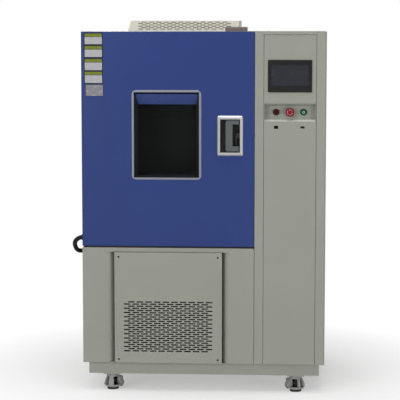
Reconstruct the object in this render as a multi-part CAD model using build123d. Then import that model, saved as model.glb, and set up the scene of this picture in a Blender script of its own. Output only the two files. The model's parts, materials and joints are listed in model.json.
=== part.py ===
from build123d import *
import os
from math import cos, pi, radians, sin, tan

# Upright environmental test chamber on four levelling castors.
# Millimetres, +Z up, the front faces -Y and +X points to the right as seen from the front.
# The origin is on the floor, under the middle of the whole object.

# Overall cabinet
body_width = 1120.0
body_depth = 980.0
castor_height = 80.0
body_top = 1668.0
sheet = 2.0
sheet_thin = 1.5
panel_seam = 1.5
running_fit = 0.05
seat_gap = 0.3

# How far pieces stand out of the cabinet
hinge_barrel = 4.5
hinge_stand_out = 2 * hinge_barrel
handle_stand_out = 12.0
gland_stand_out = 32.0

# Base
plinth_height = 55.0
plinth_side_inset = 25.0
plinth_front_inset = 20.0
plinth_rail = 30.0
pan_inset = 1.0

# Door and its place in the cabinet
door_width = 793.0
door_bottom = 683.0
door_depth = 70.0
door_gap = 6.0
door_skin_start = 7.0
column_gap = 2.0

# Test space inside the insulated walls
test_width = 600.0
test_height = 750.0
test_depth = 500.0
duct_depth = 110.0
test_left = 96.5
test_bottom = 800.0
rear_wall = 100.0

# Rail over the machine compartment
rail_bottom = 656.0
rail_top = 675.0
rail_depth = 40.0

# Viewing window
window_left = 231.0
window_width = 320.0
window_bottom = 991.0
window_height = 411.0
window_corner = 20.0
window_rim = 10.0
skin_lap = 6.0
window_stand_out = 3.0
window_taper = 16.0
window_recess = 45.0
hood_drop_top = 19.0
hood_drop_bottom = 67.0
lamp_radius = 7.0
lamp_drop = 10.0
pane = 4.0

# Door handle
handle_left = 623.0
handle_width = 119.0
handle_bottom = 1102.0
handle_height = 184.0
handle_rim = 14.0
handle_rim_z = 16.0
handle_corner = 8.0
handle_bevel = 6.0
pocket_depth = 40.0
pocket_wall = 3.0
grip_bar_left = 662.0
grip_bar_width = 32.0
grip_bottom = 1123.0
grip_top = 1266.0
grip_lower_arm = 23.0
grip_upper_arm = 20.0
grip_thickness = 14.0
grip_front = 8.0
grip_axis_from_left = 718.0
grip_reach = 6.0
grip_corner = 10.0
grip_pin_radius = 3.0
crank_radius = 21.0
crank_nose = 3.0
crank_height = 16.0
bolt_height = 24.0
bolt_depth = 16.0
bolt_bottom = 1183.0
bolt_front = 14.0
tail_width = 6.7
bolt_play = 0.5
bolt_nose = 1.5

# Hinges between door and cabinet
hinge_bottoms = (790.0, 1485.0)
hinge_height = 84.0
hinge_pin = 2.5
hinge_leaf = 3.0
hinge_leaf_reach = 45.0

# Control column
column_left = 795.0
post_width = 40.0
corner_post_width = 45.0
post_depth = 48.0
corner_radius = 14.0
screen_centre = 954.0
screen_width = 200.0
screen_height = 147.0
screen_bottom = 1393.0
screen_stand_out = 4.0
screen_body_depth = 45.0
screen_border_side = 15.0
screen_border_top = 24.0
screen_border_bottom = 30.0
tray_bottom = 1259.0
tray_top = 1345.0
tray_depth = 28.0
tray_upper_slope = 14.0
tray_lower_slope = 7.0
tray_side_slope = 3.0
roof_lip = 14.0

# Push buttons and lamp in the tray
button_pitch = 62.5
button_ring = 15.0
button_ring_height = 6.0
button_barrel = 11.0
button_bore = 8.0
button_length = 34.0
lamp_lens = 11.0
lamp_height = 12.0
start_cap_height = 3.0
start_travel = 3.0
stop_head = 20.0
stop_head_height = 16.0
stop_travel = 4.5
stop_neck = 5.0
stop_head_gap = stop_travel + 1.5

# Service sockets
socket_height = 1234.0
network_offset = 62.0
network_width = 19.0
network_height = 14.0
usb_offset = 58.0
usb_width = 18.0
usb_height = 9.0
socket_lip = 2.0
socket_depth = 20.0
socket_flange = 4.0

# Lower front
pillar_left_flat = 99.0
pillar_right_flat = 688.0
groove_depth = 37.0
grille_left = 149.0
grille_right = 646.0
grille_stand_out = 8.0
slot_length = 30.0
slot_height = 6.0
slot_pitch = 40.0
slot_columns = 10
slot_row_pitch = 10.0
slot_rows = 24
slot_field_left = 192.0
slot_field_bottom = 193.0

# Side grip on the lower left panel
grip_plate_bottom = 429.0
grip_plate_height = 79.0
grip_plate_width = 40.0
grip_plate_front = 110.0
grip_plate_stand_out = 5.0

# Roof hood and roof box
hood_left = 155.0
hood_width = 544.0
hood_front = 560.0
hood_depth = 340.0
hood_height = 51.0
hood_slope = 15.0
hood_slot_pitch = 36.0
hood_slot_length = 22.0
hood_slot_height = 4.0
hood_slot_rise = 6.7
hood_slot_margin = 51.0
hood_slot_bottom = 8.0
hood_slot_rows = 6
hood_slot_columns = 13
roof_box_left = 653.0
roof_box_width = 105.0
roof_box_depth = 80.0
roof_box_front = 90.0
roof_box_height = 21.0

# Castors with levelling pads
castor_from_side = 132.0
castor_from_front = 60.0
castor_from_rear = 70.0
castor_plate = 80.0
castor_plate_thickness = 4.0
spigot_radius = 16.0
spigot_height = 6.0
housing_radius = 42.0
housing_wall = 12.0
cavity_radius = 21.0
housing_windows = ((91, 155), (168, 196), (230, 292))
housing_bottom = 11.0
wheel_radius = 19.0
wheel_width = 18.0
wheel_lift = 3.0
wheel_offset = 46.0
wheel_clearance = 1.5
cheek = 4.5
fork_length = 34.0
fork_top = 54.0
fork_nose = 13.0
axle_radius = 4.0
pad_radius = 27.0
pad_thickness = 10.0
pad_travel = 8.0
housing_floor = pad_thickness + pad_travel + 2
stem_radius = 6.0
dial_radius = 16.0
dial_height = 10.0
dial_bottom = 35.0
castor_angles = {"front_left": 50.0, "front_right": 135.0, "rear_left": 50.0, "rear_right": 135.0}

# Air circulation and refrigeration
fan_height = 1400.0
fan_radius = 115.0
fan_width = 50.0
fan_blades = 24
fan_shaft = 8.0
fan_from_baffle = 25.0
baffle_gap = 55.0
motor_radius = 65.0
motor_length = 120.0
coil_width = 460.0
coil_height = 150.0
coil_depth = 70.0
coil_bottom = 870.0
heater_tube = 5.0
condenser_width = 420.0
condenser_height = 300.0
condenser_depth = 50.0
condenser_front = 60.0
condenser_bottom = 160.0
shroud_depth = 60.0
propeller_radius = 128.0
propeller_hub = 32.0
propeller_blades = 5
propeller_pitch = 32.0
motor_bar = 28.0
compressor_radius = 88.0
compressor_height = 270.0
compressor_left = 600.0
compressor_front = 620.0

# Wiring conduit between door and cabinet, points from the left side, the front plane and the floor
conduit_diameter = 21.0
conduit_gland_radius = 14.0
conduit_points = [
    (-hinge_stand_out, 35.0, 718.0),
    (-24.0, 35.0, 718.0),
    (-38.0, 44.0, 714.0),
    (-46.0, 64.0, 702.0),
    (-47.0, 88.0, 685.0),
    (-47.5, 108.0, 671.5),
    (-45.0, 130.0, 656.0),
    (-37.0, 148.0, 644.0),
    (-24.0, 156.0, 641.0),
    (-hinge_stand_out, 156.0, 641.0),
]

# Places of the cabinet's left side and front plane in the part's own frame
left_side = (hinge_stand_out - body_width) / 2
front_plane = (handle_stand_out - body_depth - gland_stand_out) / 2

# Heights and depths that follow from the sizes above
plinth_top = castor_height + plinth_height
panel_bottom = plinth_top + sheet
column_right_seam = body_width - corner_post_width
column_left_seam = column_left + post_width
chamber_face = door_depth + door_gap
parting = door_depth + door_gap / 2
test_right = test_left + test_width
test_top = test_bottom + test_height
liner_back = chamber_face + test_depth + duct_depth
insulation_back = liner_back + sheet_thin + rear_wall
window_right = window_left + window_width
window_top = window_bottom + window_height
handle_right = handle_left + handle_width
handle_top = handle_bottom + handle_height
chamber_right = column_left - 2 * sheet


def place(x, d, z):
    """A point from its distance right of the left side, behind the front plane and above the floor."""
    return Vector(left_side + x, front_plane + d, z)


def block(x, d, z):
    """A box between two distances in each direction."""
    size = [high - low for low, high in (x, d, z)]
    centre = place(sum(x) / 2, sum(d) / 2, sum(z) / 2)
    return Pos(*centre) * Box(*size)


def rod_y(x, d, z, radius):
    """A round bar along Y at x and z, between two depths."""
    centre = place(x, sum(d) / 2, z)
    return Pos(*centre) * Rot(90, 0, 0) * Cylinder(radius, d[1] - d[0])


def rod_z(x, d, z, radius):
    """A round bar along Z at x and d, between two heights."""
    centre = place(x, d, sum(z) / 2)
    return Pos(*centre) * Cylinder(radius, z[1] - z[0])


def rod_x(x, d, z, radius):
    """A round bar along X at d and z, between two distances from the left side."""
    centre = place(sum(x) / 2, d, z)
    return Pos(*centre) * Rot(0, 90, 0) * Cylinder(radius, x[1] - x[0])


def group(pieces):
    """Separate solids kept in one node."""
    return Compound(children=[piece.solid() for piece in pieces])


def front_plate(x, z, d, corner=0.0):
    """An upright plate seen from the front, with rounded corners where a radius is given."""
    outline = Rectangle(x[1] - x[0], z[1] - z[0])
    if corner:
        outline = RectangleRounded(x[1] - x[0], z[1] - z[0], corner)
    centre = place(sum(x) / 2, d[1], sum(z) / 2)
    frame = Plane(origin=centre, x_dir=(1, 0, 0), z_dir=(0, -1, 0))
    return extrude(frame * outline, d[1] - d[0])


def flat_plan(points, z):
    """A block standing on an outline drawn in plan, between two heights."""
    corners = [place(x, d, z[0]) for x, d in points]
    return extrude(make_face(Polyline(*corners, close=True)), z[1] - z[0], dir=(0, 0, 1))


# Base and outer sheet metal

def base_frame():
    left = plinth_side_inset
    right = body_width - plinth_side_inset
    front = plinth_front_inset
    back = body_depth - plinth_front_inset
    height = (castor_height, plinth_top)
    rails = [
        block((left, right), (front, front + plinth_rail), height),
        block((left, right), (back - plinth_rail, back), height),
        block((left, left + plinth_rail), (front + plinth_rail, back - plinth_rail), height),
        block((right - plinth_rail, right), (front + plinth_rail, back - plinth_rail), height),
    ]
    inset = pan_inset
    pan = block((inset, body_width - inset), (inset, body_depth - inset), (plinth_top, panel_bottom))
    plates = [castor_top_plate(*spot) for spot in castor_places().values()]
    return group(rails + [pan] + plates)


def side_panels():
    deck = rail_top - sheet
    back = body_depth
    upper = block((0, sheet), (chamber_face, back), (rail_top, body_top - sheet))
    lower = block((0, sheet), (rail_depth, back), (panel_bottom, deck))
    right = block((body_width - sheet, body_width), (post_depth, back), (panel_bottom, body_top - sheet))
    divider = block((chamber_right, chamber_right + sheet), (chamber_face, back - sheet), (rail_top, body_top - sheet))
    return group([upper, lower, right, divider])


def column_posts():
    height = (panel_bottom, body_top - sheet)
    inner = block((column_left, column_left_seam), (0, post_depth), height)
    hollow = block((column_left + sheet, column_left_seam - sheet), (sheet, post_depth), height)
    outer = block((column_right_seam, body_width), (0, post_depth), height)
    edge = outer.edges().filter_by(Axis.Z).group_by(Axis.Y)[0].sort_by(Axis.X)[-1]
    outer = fillet(edge, corner_radius)
    bore = block((column_right_seam + sheet, body_width - sheet), (sheet, post_depth), height)
    bore_edge = bore.edges().filter_by(Axis.Z).group_by(Axis.Y)[0].sort_by(Axis.X)[-1]
    return group([inner - hollow, outer - fillet(bore_edge, corner_radius - sheet)])


def column_front_panels():
    left = column_left_seam + panel_seam
    right = column_right_seam - panel_seam
    upper = block((left, right), (0, sheet), (tray_top, body_top - roof_lip - panel_seam))
    half = screen_width / 2 - screen_stand_out - seat_gap
    cut_bottom = screen_bottom + screen_stand_out + seat_gap
    cut_top = screen_bottom + screen_height - screen_stand_out - seat_gap
    upper -= block((screen_centre - half, screen_centre + half), (-1, 10), (cut_bottom, cut_top))
    lower = block((left, right), (0, sheet), (panel_bottom, tray_bottom))
    for centre, width, height in socket_spots():
        wide = width / 2 + seat_gap
        high = height / 2 + seat_gap
        lower -= block((centre - wide, centre + wide), (-1, 10), (socket_height - high, socket_height + high))
    return group([upper, lower])


def button_tray():
    left = column_left_seam + panel_seam
    right = column_right_seam - panel_seam
    outside = block((left, right), (0, tray_depth + sheet), (tray_bottom, tray_top))
    mouth = tray_section((left + sheet, right - sheet), (tray_bottom + sheet, tray_top - sheet), -sheet)
    floor_x = (left + sheet + tray_side_slope, right - sheet - tray_side_slope)
    floor_z = (tray_bottom + sheet + tray_lower_slope, tray_top - sheet - tray_upper_slope)
    tray = outside - loft([mouth, tray_section(floor_x, floor_z, tray_depth)], ruled=True)
    for step in (-1, 0, 1):
        x = screen_centre + step * button_pitch
        tray -= rod_y(x, (0, 60), button_centre(), button_barrel + 1.0)
    return tray


def tray_section(x, z, d):
    """The tray's clear opening at one depth."""
    frame = Plane(origin=place(sum(x) / 2, d, sum(z) / 2), x_dir=(1, 0, 0), z_dir=(0, -1, 0))
    return frame * Rectangle(x[1] - x[0], z[1] - z[0])


def roof_and_deck_panels():
    chamber = block((0, chamber_right + sheet), (chamber_face, body_depth), (body_top - sheet, body_top))
    opening_side = 60.0
    vent = block(
        (hood_left + opening_side, hood_left + hood_width - opening_side),
        (insulation_back + 10, hood_front + hood_depth - 10),
        (body_top - 10, body_top + 10),
    )
    column = block((column_left, body_width), (0, body_depth), (body_top - sheet, body_top))
    lip = block((column_left_seam, column_right_seam), (0, sheet), (body_top - roof_lip, body_top))
    corner = (column + lip).edges().filter_by(Axis.Z).group_by(Axis.Y)[0].sort_by(Axis.X)[-1]
    deck = block((sheet, chamber_right), (rail_depth, body_depth - sheet), (rail_top - sheet, rail_top))
    return group([chamber - vent, fillet(corner, corner_radius), deck])


def lower_front_frame():
    rail = block((0, door_width), (0, rail_depth), (rail_bottom, rail_top))
    z = (panel_bottom, rail_bottom)
    left = pillar(0.0, pillar_left_flat, grille_left, z)
    right = pillar(door_width, pillar_right_flat, grille_right, z)
    return group([rail + left + right])


def pillar(outer, bend, inner, z):
    """A front pillar: flat outside, then curving back beside the grille panel."""
    side = 1 if inner > bend else -1
    front = TangentArc([place(bend, 0, z[0]), place(inner, groove_depth, z[0])], tangent=(side, 0, 0))
    back = TangentArc([place(bend, sheet, z[0]), place(inner, groove_depth + sheet, z[0])], tangent=(side, 0, 0))
    outline = [
        Line(place(outer, 0, z[0]), place(bend, 0, z[0])),
        front,
        Line(place(inner, groove_depth, z[0]), place(inner, groove_depth + sheet, z[0])),
        back,
        Line(place(bend, sheet, z[0]), place(outer + side * sheet, sheet, z[0])),
        Line(place(outer + side * sheet, sheet, z[0]), place(outer + side * sheet, rail_depth, z[0])),
        Line(place(outer + side * sheet, rail_depth, z[0]), place(outer, rail_depth, z[0])),
        Line(place(outer, rail_depth, z[0]), place(outer, 0, z[0])),
    ]
    return extrude(make_face(outline), z[1] - z[0], dir=(0, 0, 1))


def grille_panel():
    """A slotted face and the four edges that return behind it."""
    z = (panel_bottom, rail_bottom - panel_seam)
    face_back = sheet - grille_stand_out
    face = block((grille_left, grille_right), (-grille_stand_out, face_back), z)
    inner = (z[0] + sheet, z[1] - sheet)
    edges = [
        block((grille_left, grille_right), (face_back, groove_depth), (z[0], inner[0])),
        block((grille_left, grille_right), (face_back, groove_depth), (inner[1], z[1])),
        block((grille_left, grille_left + sheet), (face_back, groove_depth), inner),
        block((grille_right - sheet, grille_right), (face_back, groove_depth), inner),
    ]
    rows = slot_rows // 2
    slots = []
    for shift in (0, 1):
        x = slot_field_left + slot_length / 2 + (slot_columns - 1) * slot_pitch / 2 + shift * slot_pitch / 2
        height = slot_field_bottom + (rows - 0.5 + shift) * slot_row_pitch - slot_row_pitch / 2
        frame = Plane(origin=place(x, 0, height), x_dir=(1, 0, 0), z_dir=(0, -1, 0))
        spots = GridLocations(slot_pitch, 2 * slot_row_pitch, slot_columns, rows)
        slots += [frame * spot * Rectangle(slot_length, slot_height) for spot in spots]
    cutters = [extrude(slot, 2 * grille_stand_out) for slot in slots]
    return group([face.cut(*cutters)] + edges)


def rear_panels():
    d = (body_depth - sheet, body_depth)
    upper = block((sheet, body_width - sheet), d, (rail_top, body_top - sheet))
    lower = block((sheet, body_width - sheet), d, (panel_bottom, rail_top - sheet))
    louvre = 90.0
    cutters = []
    for row in range(10):
        z = 250.0 + row * 30.0
        for column in range(4):
            x = 170.0 + column * 120.0
            cutters.append(block((x, x + louvre), (body_depth - 20, body_depth + 20), (z, z + 8)))
    return group([upper, lower.cut(*cutters)])


def side_panel_grip():
    z = (grip_plate_bottom, grip_plate_bottom + grip_plate_height)
    d = (grip_plate_front, grip_plate_front + grip_plate_width)
    plate = block((-grip_plate_stand_out, 0), d, z)
    plate = chamfer(plate.faces().sort_by(Axis.X)[0].edges(), 2.0)
    finger = block((-10, -1.0), (d[0] + 10, d[1] - 10), (z[0] + 14, z[1] - 14))
    return plate - finger


# Hood and box on the roof

def vent_hood():
    z = (body_top, body_top + hood_height)
    left = hood_left
    right = hood_left + hood_width
    d = (hood_front, hood_front + hood_depth)
    outer = hood_body(left, right, hood_slope, d, z)
    inner = hood_body(left + sheet, right - sheet, hood_slope, (d[0] + sheet, d[1] - sheet), (z[0] - 1, z[1] - sheet))
    hood = outer - inner
    cutters = []
    for row in range(hood_slot_rows):
        for column in range(hood_slot_columns - row % 2):
            x = left + hood_slot_margin + column * hood_slot_pitch + (row % 2) * hood_slot_pitch / 2
            height = z[0] + hood_slot_bottom + row * hood_slot_rise
            cutters.append(
                block((x, x + hood_slot_length), (d[0] - 10, d[0] + 10), (height, height + hood_slot_height))
            )
    return hood.cut(*cutters)


def hood_body(left, right, slope, d, z):
    """A hood whose left side leans inwards."""
    corners = [
        place(left, d[0], z[0]),
        place(right, d[0], z[0]),
        place(right, d[0], z[1]),
        place(left + slope, d[0], z[1]),
    ]
    return extrude(make_face(Polyline(*corners, close=True)), d[1] - d[0], dir=(0, 1, 0))


def roof_junction_box():
    x = (roof_box_left, roof_box_left + roof_box_width)
    d = (roof_box_front, roof_box_front + roof_box_depth)
    base = block((x[0] + 2, x[1] - 2), (d[0] + 2, d[1] - 2), (body_top, body_top + roof_box_height / 2))
    cover = block(x, d, (body_top + roof_box_height / 2, body_top + roof_box_height))
    return base + fillet(cover.edges().filter_by(Axis.Z), 4.0)


# Insulated chamber

def insulation():
    top = body_top - sheet
    d = (chamber_face + sheet_thin, insulation_back)
    x = (sheet, chamber_right)
    deck = rail_top
    low = test_bottom - sheet_thin
    high = test_top + sheet_thin
    inner = (test_left - sheet_thin, test_right + sheet_thin)
    back = block(inner, (liner_back + sheet_thin, insulation_back), (low, high))
    back -= rod_y(middle(), (liner_back - 5, insulation_back + 5), fan_height, fan_shaft + 4.0)
    return group([
        block(x, d, (deck, low)),
        block(x, d, (high, top)),
        block((x[0], inner[0]), d, (low, high)),
        block((inner[1], x[1]), d, (low, high)),
        back,
    ])


def chamber_liner():
    z = (test_bottom, test_top)
    flange = block((sheet, chamber_right), (chamber_face, chamber_face + sheet_thin), (rail_top, body_top - sheet))
    outside = block(
        (test_left - sheet_thin, test_right + sheet_thin),
        (chamber_face, liner_back + sheet_thin),
        (z[0] - sheet_thin, z[1] + sheet_thin),
    )
    room = block((test_left, test_right), (chamber_face - 5, liner_back), z)
    tub = flange + outside - room
    return tub - rod_y(middle(), (liner_back - 5, liner_back + 10), fan_height, fan_shaft + 4.0)


def middle():
    return test_left + test_width / 2


def baffle_front():
    return chamber_face + test_depth


def air_baffle():
    z = (test_bottom + baffle_gap, test_top - baffle_gap)
    d = (baffle_front(), baffle_front() + sheet)
    plate = block((test_left, test_right), d, z)
    flanges = [
        block((test_left, test_left + sheet), (d[0], d[1] + 15), z),
        block((test_right - sheet, test_right), (d[0], d[1] + 15), z),
    ]
    plate = plate + flanges[0] + flanges[1]
    return plate - rod_y(middle(), (d[0] - 5, d[1] + 5), fan_height, fan_radius * 0.7)


def evaporator_and_heater():
    left = middle() - coil_width / 2
    right = left + coil_width
    front = baffle_front() + sheet + 10
    z = (coil_bottom, coil_bottom + coil_height)
    coil = finned_block((left, right), (front, front + coil_depth), z, 24, 10.0)
    feet = [
        block((test_left, left), (front + 20, front + 40), (z[0], z[0] + 20)),
        block((right, test_right), (front + 20, front + 40), (z[0], z[0] + 20)),
    ]
    coil = coil + feet[0] + feet[1]
    loops = []
    for step in (0, 1, 2):
        d = front + 15 + step * 20
        loops.append(heater_loop(left + 30, right - 30, d, z[1]))
    return group([coil] + loops)


def finned_block(x, d, z, fins, groove):
    """A coil block with fins standing out to the front."""
    pitch = (x[1] - x[0]) / fins
    points = []
    for fin in range(fins):
        start = x[0] + fin * pitch
        points += [(start, d[0]), (start + pitch * 0.4, d[0])]
        points += [(start + pitch * 0.4, d[0] + groove), (start + pitch, d[0] + groove)]
    points += [(x[1], d[1]), (x[0], d[1])]
    return flat_plan(points, z)


def heater_loop(x0, x1, d, z):
    """A tube that rises from the coil, crosses above it and comes down again."""
    top = z + 45
    path = FilletPolyline(place(x0, d, z), place(x0, d, top), place(x1, d, top), place(x1, d, z), radius=15)
    return sweep(Plane(origin=path @ 0, z_dir=path % 0) * Circle(heater_tube), path)


def circulation_motor():
    front = insulation_back
    back = front + motor_length
    housing = rod_y(middle(), (front + 12, back), fan_height, motor_radius)
    housing = fillet(housing.edges().sort_by(Axis.Y)[-1], 12.0)
    flange = block(
        (middle() - 80, middle() + 80), (front, front + 12), (fan_height - 80, fan_height + 80)
    )
    bore = rod_y(middle(), (front - 5, back - 30), fan_height, fan_shaft + running_fit)
    return housing + flange - bore


def circulation_fan():
    front = baffle_front() + sheet + fan_from_baffle
    back = front + fan_width
    disc = rod_y(middle(), (back - 2, back), fan_height, fan_radius)
    ring = rod_y(middle(), (front, front + 2), fan_height, fan_radius)
    ring -= rod_y(middle(), (front - 5, front + 5), fan_height, fan_radius - 30)
    hub = rod_y(middle(), (back - 30, back), fan_height, 20.0)
    shaft = rod_y(middle(), (back - 30, insulation_back + motor_length - 40), fan_height, fan_shaft)
    wheel = disc + ring + hub + shaft
    centre = place(middle(), (front + back) / 2, fan_height)
    vane = Pos(fan_radius - 15, 0, 0) * Rot(0, 40, 0) * Box(26, fan_width - 2, 1.5)
    for step in range(fan_blades):
        wheel += Pos(*centre) * Rot(0, step * 360 / fan_blades, 0) * vane
    return wheel


def shelf_rails():
    rails = []
    for x in ((test_left, test_left + 12), (test_right - 12, test_right)):
        for d in (chamber_face + 60, baffle_front() - 80):
            rail = block(x, (d, d + 20), (test_bottom + 60, test_top - 60))
            rails.append(rail)
    return group(rails + [shelf_hook(side, level) for side in (0, 1) for level in shelf_levels()])


def shelf_levels():
    return (test_bottom + 200, test_bottom + 460)


def shelf_hook(side, level):
    """A ledge along one side that carries a shelf, hung between two rails."""
    d = (chamber_face + 60, baffle_front() - 60)
    if side == 0:
        return block((test_left + 12, test_left + 26), d, (level - 3, level))
    return block((test_right - 26, test_right - 12), d, (level - 3, level))


def wire_shelves():
    return group([wire_shelf(level) for level in shelf_levels()])


def wire_shelf(level):
    wire = 3.0
    side = (test_left + 17, test_right - 17)
    d = (chamber_face + 65, baffle_front() - 65)
    z = level + wire
    shelf = rod_y(side[0], d, z, wire) + rod_y(side[1], d, z, wire)
    shelf += rod_x(side, d[0], z, wire) + rod_x(side, d[1], z, wire)
    wires = 13
    for step in range(1, wires):
        x = side[0] + (side[1] - side[0]) * step / wires
        shelf += rod_y(x, d, z, wire * 0.7)
    return shelf


# Machine compartment

def compressor():
    floor = plinth_top + sheet
    shell = rod_z(compressor_left, compressor_front, (floor + 20, floor + 20 + compressor_height), compressor_radius)
    shell = fillet(shell.edges(), 38.0)
    base = block(
        (compressor_left - 95, compressor_left + 95), (compressor_front - 70, compressor_front + 70), (floor + 18, floor + 22)
    )
    feet = [
        rod_z(compressor_left + sx * 80, compressor_front + sy * 55, (floor, floor + 18), 14.0)
        for sx in (-1, 1) for sy in (-1, 1)
    ]
    body = shell + base
    for foot in feet:
        body += foot
    return body


def condenser_middle():
    return (grille_left + grille_right) / 2


def condenser_coil():
    x = (condenser_middle() - condenser_width / 2, condenser_middle() + condenser_width / 2)
    d = (condenser_front, condenser_front + condenser_depth)
    z = (condenser_bottom, condenser_bottom + condenser_height)
    coil = finned_block(x, d, z, 30, 12.0)
    legs = [
        block((x[0] + side, x[0] + side + 20), (d[0] + 20, d[1]), (plinth_top + sheet, z[0]))
        for side in (0, condenser_width - 20)
    ]
    return coil + legs[0] + legs[1]


def propeller_centre():
    return condenser_bottom + condenser_height / 2


def condenser_fan_mount():
    """The shroud behind the condenser, and the fan motor on its cross bar."""
    x = (condenser_middle() - condenser_width / 2, condenser_middle() + condenser_width / 2)
    front = condenser_front + condenser_depth
    z = (condenser_bottom, condenser_bottom + condenser_height)
    shroud = block(x, (front, front + shroud_depth), z)
    shroud -= block((x[0] + 3, x[1] - 3), (front - 1, front + shroud_depth - 3), (z[0] + 3, z[1] - 3))
    shroud -= rod_y(condenser_middle(), (front, front + 100), propeller_centre(), propeller_radius + 6)
    back = front + shroud_depth
    bar = block(x, (back + 40, back + 46), (propeller_centre() - motor_bar, propeller_centre() + motor_bar))
    arms = [
        block((x[0], x[0] + 6), (back, back + 40), (propeller_centre() - motor_bar, propeller_centre() + motor_bar)),
        block((x[1] - 6, x[1]), (back, back + 40), (propeller_centre() - motor_bar, propeller_centre() + motor_bar)),
    ]
    motor = rod_y(condenser_middle(), (back + 10, back + 40), propeller_centre(), 34.0)
    motor = motor + rod_y(condenser_middle(), (back + 46, back + 90), propeller_centre(), 40.0)
    motor = motor + rod_y(condenser_middle(), (back + 39, back + 47), propeller_centre(), 20.0)
    bar -= rod_y(condenser_middle(), (back + 30, back + 60), propeller_centre(), 20.0)
    bore = rod_y(condenser_middle(), (back, back + 70), propeller_centre(), 5.0 + running_fit)
    return group([shroud + bar + arms[0] + arms[1], motor - bore])


def condenser_fan():
    front = condenser_front + condenser_depth
    back = front + shroud_depth
    d = (back - 26, back - 2)
    wheel = rod_y(condenser_middle(), d, propeller_centre(), propeller_hub)
    wheel += rod_y(condenser_middle(), (d[0], back + 60), propeller_centre(), 5.0)
    centre = place(condenser_middle(), sum(d) / 2, propeller_centre())
    for step in range(propeller_blades):
        turn = Pos(*centre) * Rot(0, step * 360 / propeller_blades, 0)
        wheel += turn * propeller_blade()
    return wheel


def propeller_blade():
    """A twisted blade lofted outwards from the hub."""
    root = Plane(origin=(propeller_hub - 4, 0, 0), z_dir=(1, 0, 0)) * Rot(0, 0, propeller_pitch + 12) * Rectangle(40, 2.5)
    tip = Plane(origin=(propeller_radius, 0, 0), z_dir=(1, 0, 0)) * Rot(0, 0, propeller_pitch - 10) * Rectangle(60, 1.5)
    return loft([root, tip], ruled=True)


def electrical_plate():
    x = (chamber_right + sheet, chamber_right + sheet + 3)
    plate = block(x, (200, 700), (400, 1200))
    units = []
    for row, (height, count, depth) in enumerate(((1060, 4, 60), (880, 5, 75), (700, 3, 90))):
        for step in range(count):
            d = 240 + step * 85
            unit = block((x[1], x[1] + depth), (d, d + 70), (height, height + 90))
            units.append(chamfer(unit.faces().sort_by(Axis.X)[-1].edges(), 4.0))
    terminals = block((x[1], x[1] + 40), (230, 670), (480, 540))
    return group([plate] + units + [terminals])


# Control column fittings

def button_centre():
    return (tray_bottom + tray_top) / 2


def hmi_housing():
    x = (screen_centre - screen_width / 2, screen_centre + screen_width / 2)
    z = (screen_bottom, screen_bottom + screen_height)
    rim = front_plate(x, z, (-screen_stand_out, 0), 5.0)
    inset = screen_stand_out + 2 * seat_gap
    body = block((x[0] + inset, x[1] - inset), (0, screen_body_depth), (z[0] + inset, z[1] - inset))
    return rim + body - screen_window(seat_gap, 3.0)


def screen_window(clearance, depth):
    x = (screen_centre - screen_width / 2 + screen_border_side, screen_centre + screen_width / 2 - screen_border_side)
    z = (screen_bottom + screen_border_bottom, screen_bottom + screen_height - screen_border_top)
    return block(
        (x[0] - clearance, x[1] + clearance),
        (-screen_stand_out - 5 * clearance, depth - screen_stand_out),
        (z[0] - clearance, z[1] + clearance),
    )


def hmi_screen():
    return screen_window(0.0, 3.0) - block((0, body_width), (-20, -screen_stand_out + 0.4), (0, body_top))


def alarm_lamp():
    x = screen_centre - button_pitch
    base = rod_y(x, (tray_depth - button_ring_height, tray_depth + 20), button_centre(), button_bore - running_fit)
    lens = rod_y(x, (tray_depth - button_ring_height - lamp_height, tray_depth - button_ring_height), button_centre(), lamp_lens)
    lens = fillet(lens.edges().sort_by(Axis.Y)[0], 4.0)
    return base + lens


def button_bezels():
    rings = []
    for step, bore in ((-1, button_bore), (0, button_bore + running_fit), (1, button_bore + running_fit)):
        x = screen_centre + step * button_pitch
        front = tray_depth - button_ring_height
        ring = rod_y(x, (front, tray_depth), button_centre(), button_ring)
        ring = chamfer(ring.edges().sort_by(Axis.Y)[0], 1.5)
        ring += rod_y(x, (tray_depth, tray_depth + button_length), button_centre(), button_barrel)
        rings.append(ring - rod_y(x, (front - 5, tray_depth + button_length + 5), button_centre(), bore))
    return group(rings)


def stop_plunger():
    front = tray_depth - button_ring_height
    shaft = rod_y(screen_centre, (front - stop_head_gap, tray_depth + button_length - 6), button_centre(), button_bore)
    nose = rod_y(screen_centre, (front - stop_head_gap - 10, front), button_centre(), stop_neck)
    return shaft + nose


def stop_head_piece():
    back = tray_depth - button_ring_height - stop_head_gap
    head = rod_y(screen_centre, (back - stop_head_height, back), button_centre(), stop_head)
    head = fillet(head.edges().sort_by(Axis.Y)[0], 7.0)
    bore = rod_y(screen_centre, (back - 10 - seat_gap, back + 5), button_centre(), stop_neck + running_fit)
    return head - bore


def start_button():
    x = screen_centre + button_pitch
    front = tray_depth - button_ring_height
    cap = rod_y(x, (front - start_travel - start_cap_height, front - start_travel), button_centre(), lamp_lens)
    cap = fillet(cap.edges().sort_by(Axis.Y)[0], 1.5)
    return cap + rod_y(x, (front - start_travel, tray_depth + 20), button_centre(), button_bore)


def socket_spots():
    return [
        (screen_centre - network_offset, network_width, network_height),
        (screen_centre + usb_offset, usb_width, usb_height),
    ]


def service_sockets():
    sockets = []
    for centre, width, height in socket_spots():
        x = (centre - width / 2, centre + width / 2)
        z = (socket_height - height / 2, socket_height + height / 2)
        nose = block(x, (0.3, sheet), z)
        box = block(
            (x[0] - socket_flange, x[1] + socket_flange), (sheet, socket_depth + 5),
            (z[0] - socket_flange, z[1] + socket_flange),
        )
        room = block((x[0] + socket_lip, x[1] - socket_lip), (-5, socket_depth), (z[0] + socket_lip, z[1] - socket_lip))
        sockets.append(nose + box - room)
    return group(sockets)


# Door

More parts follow.
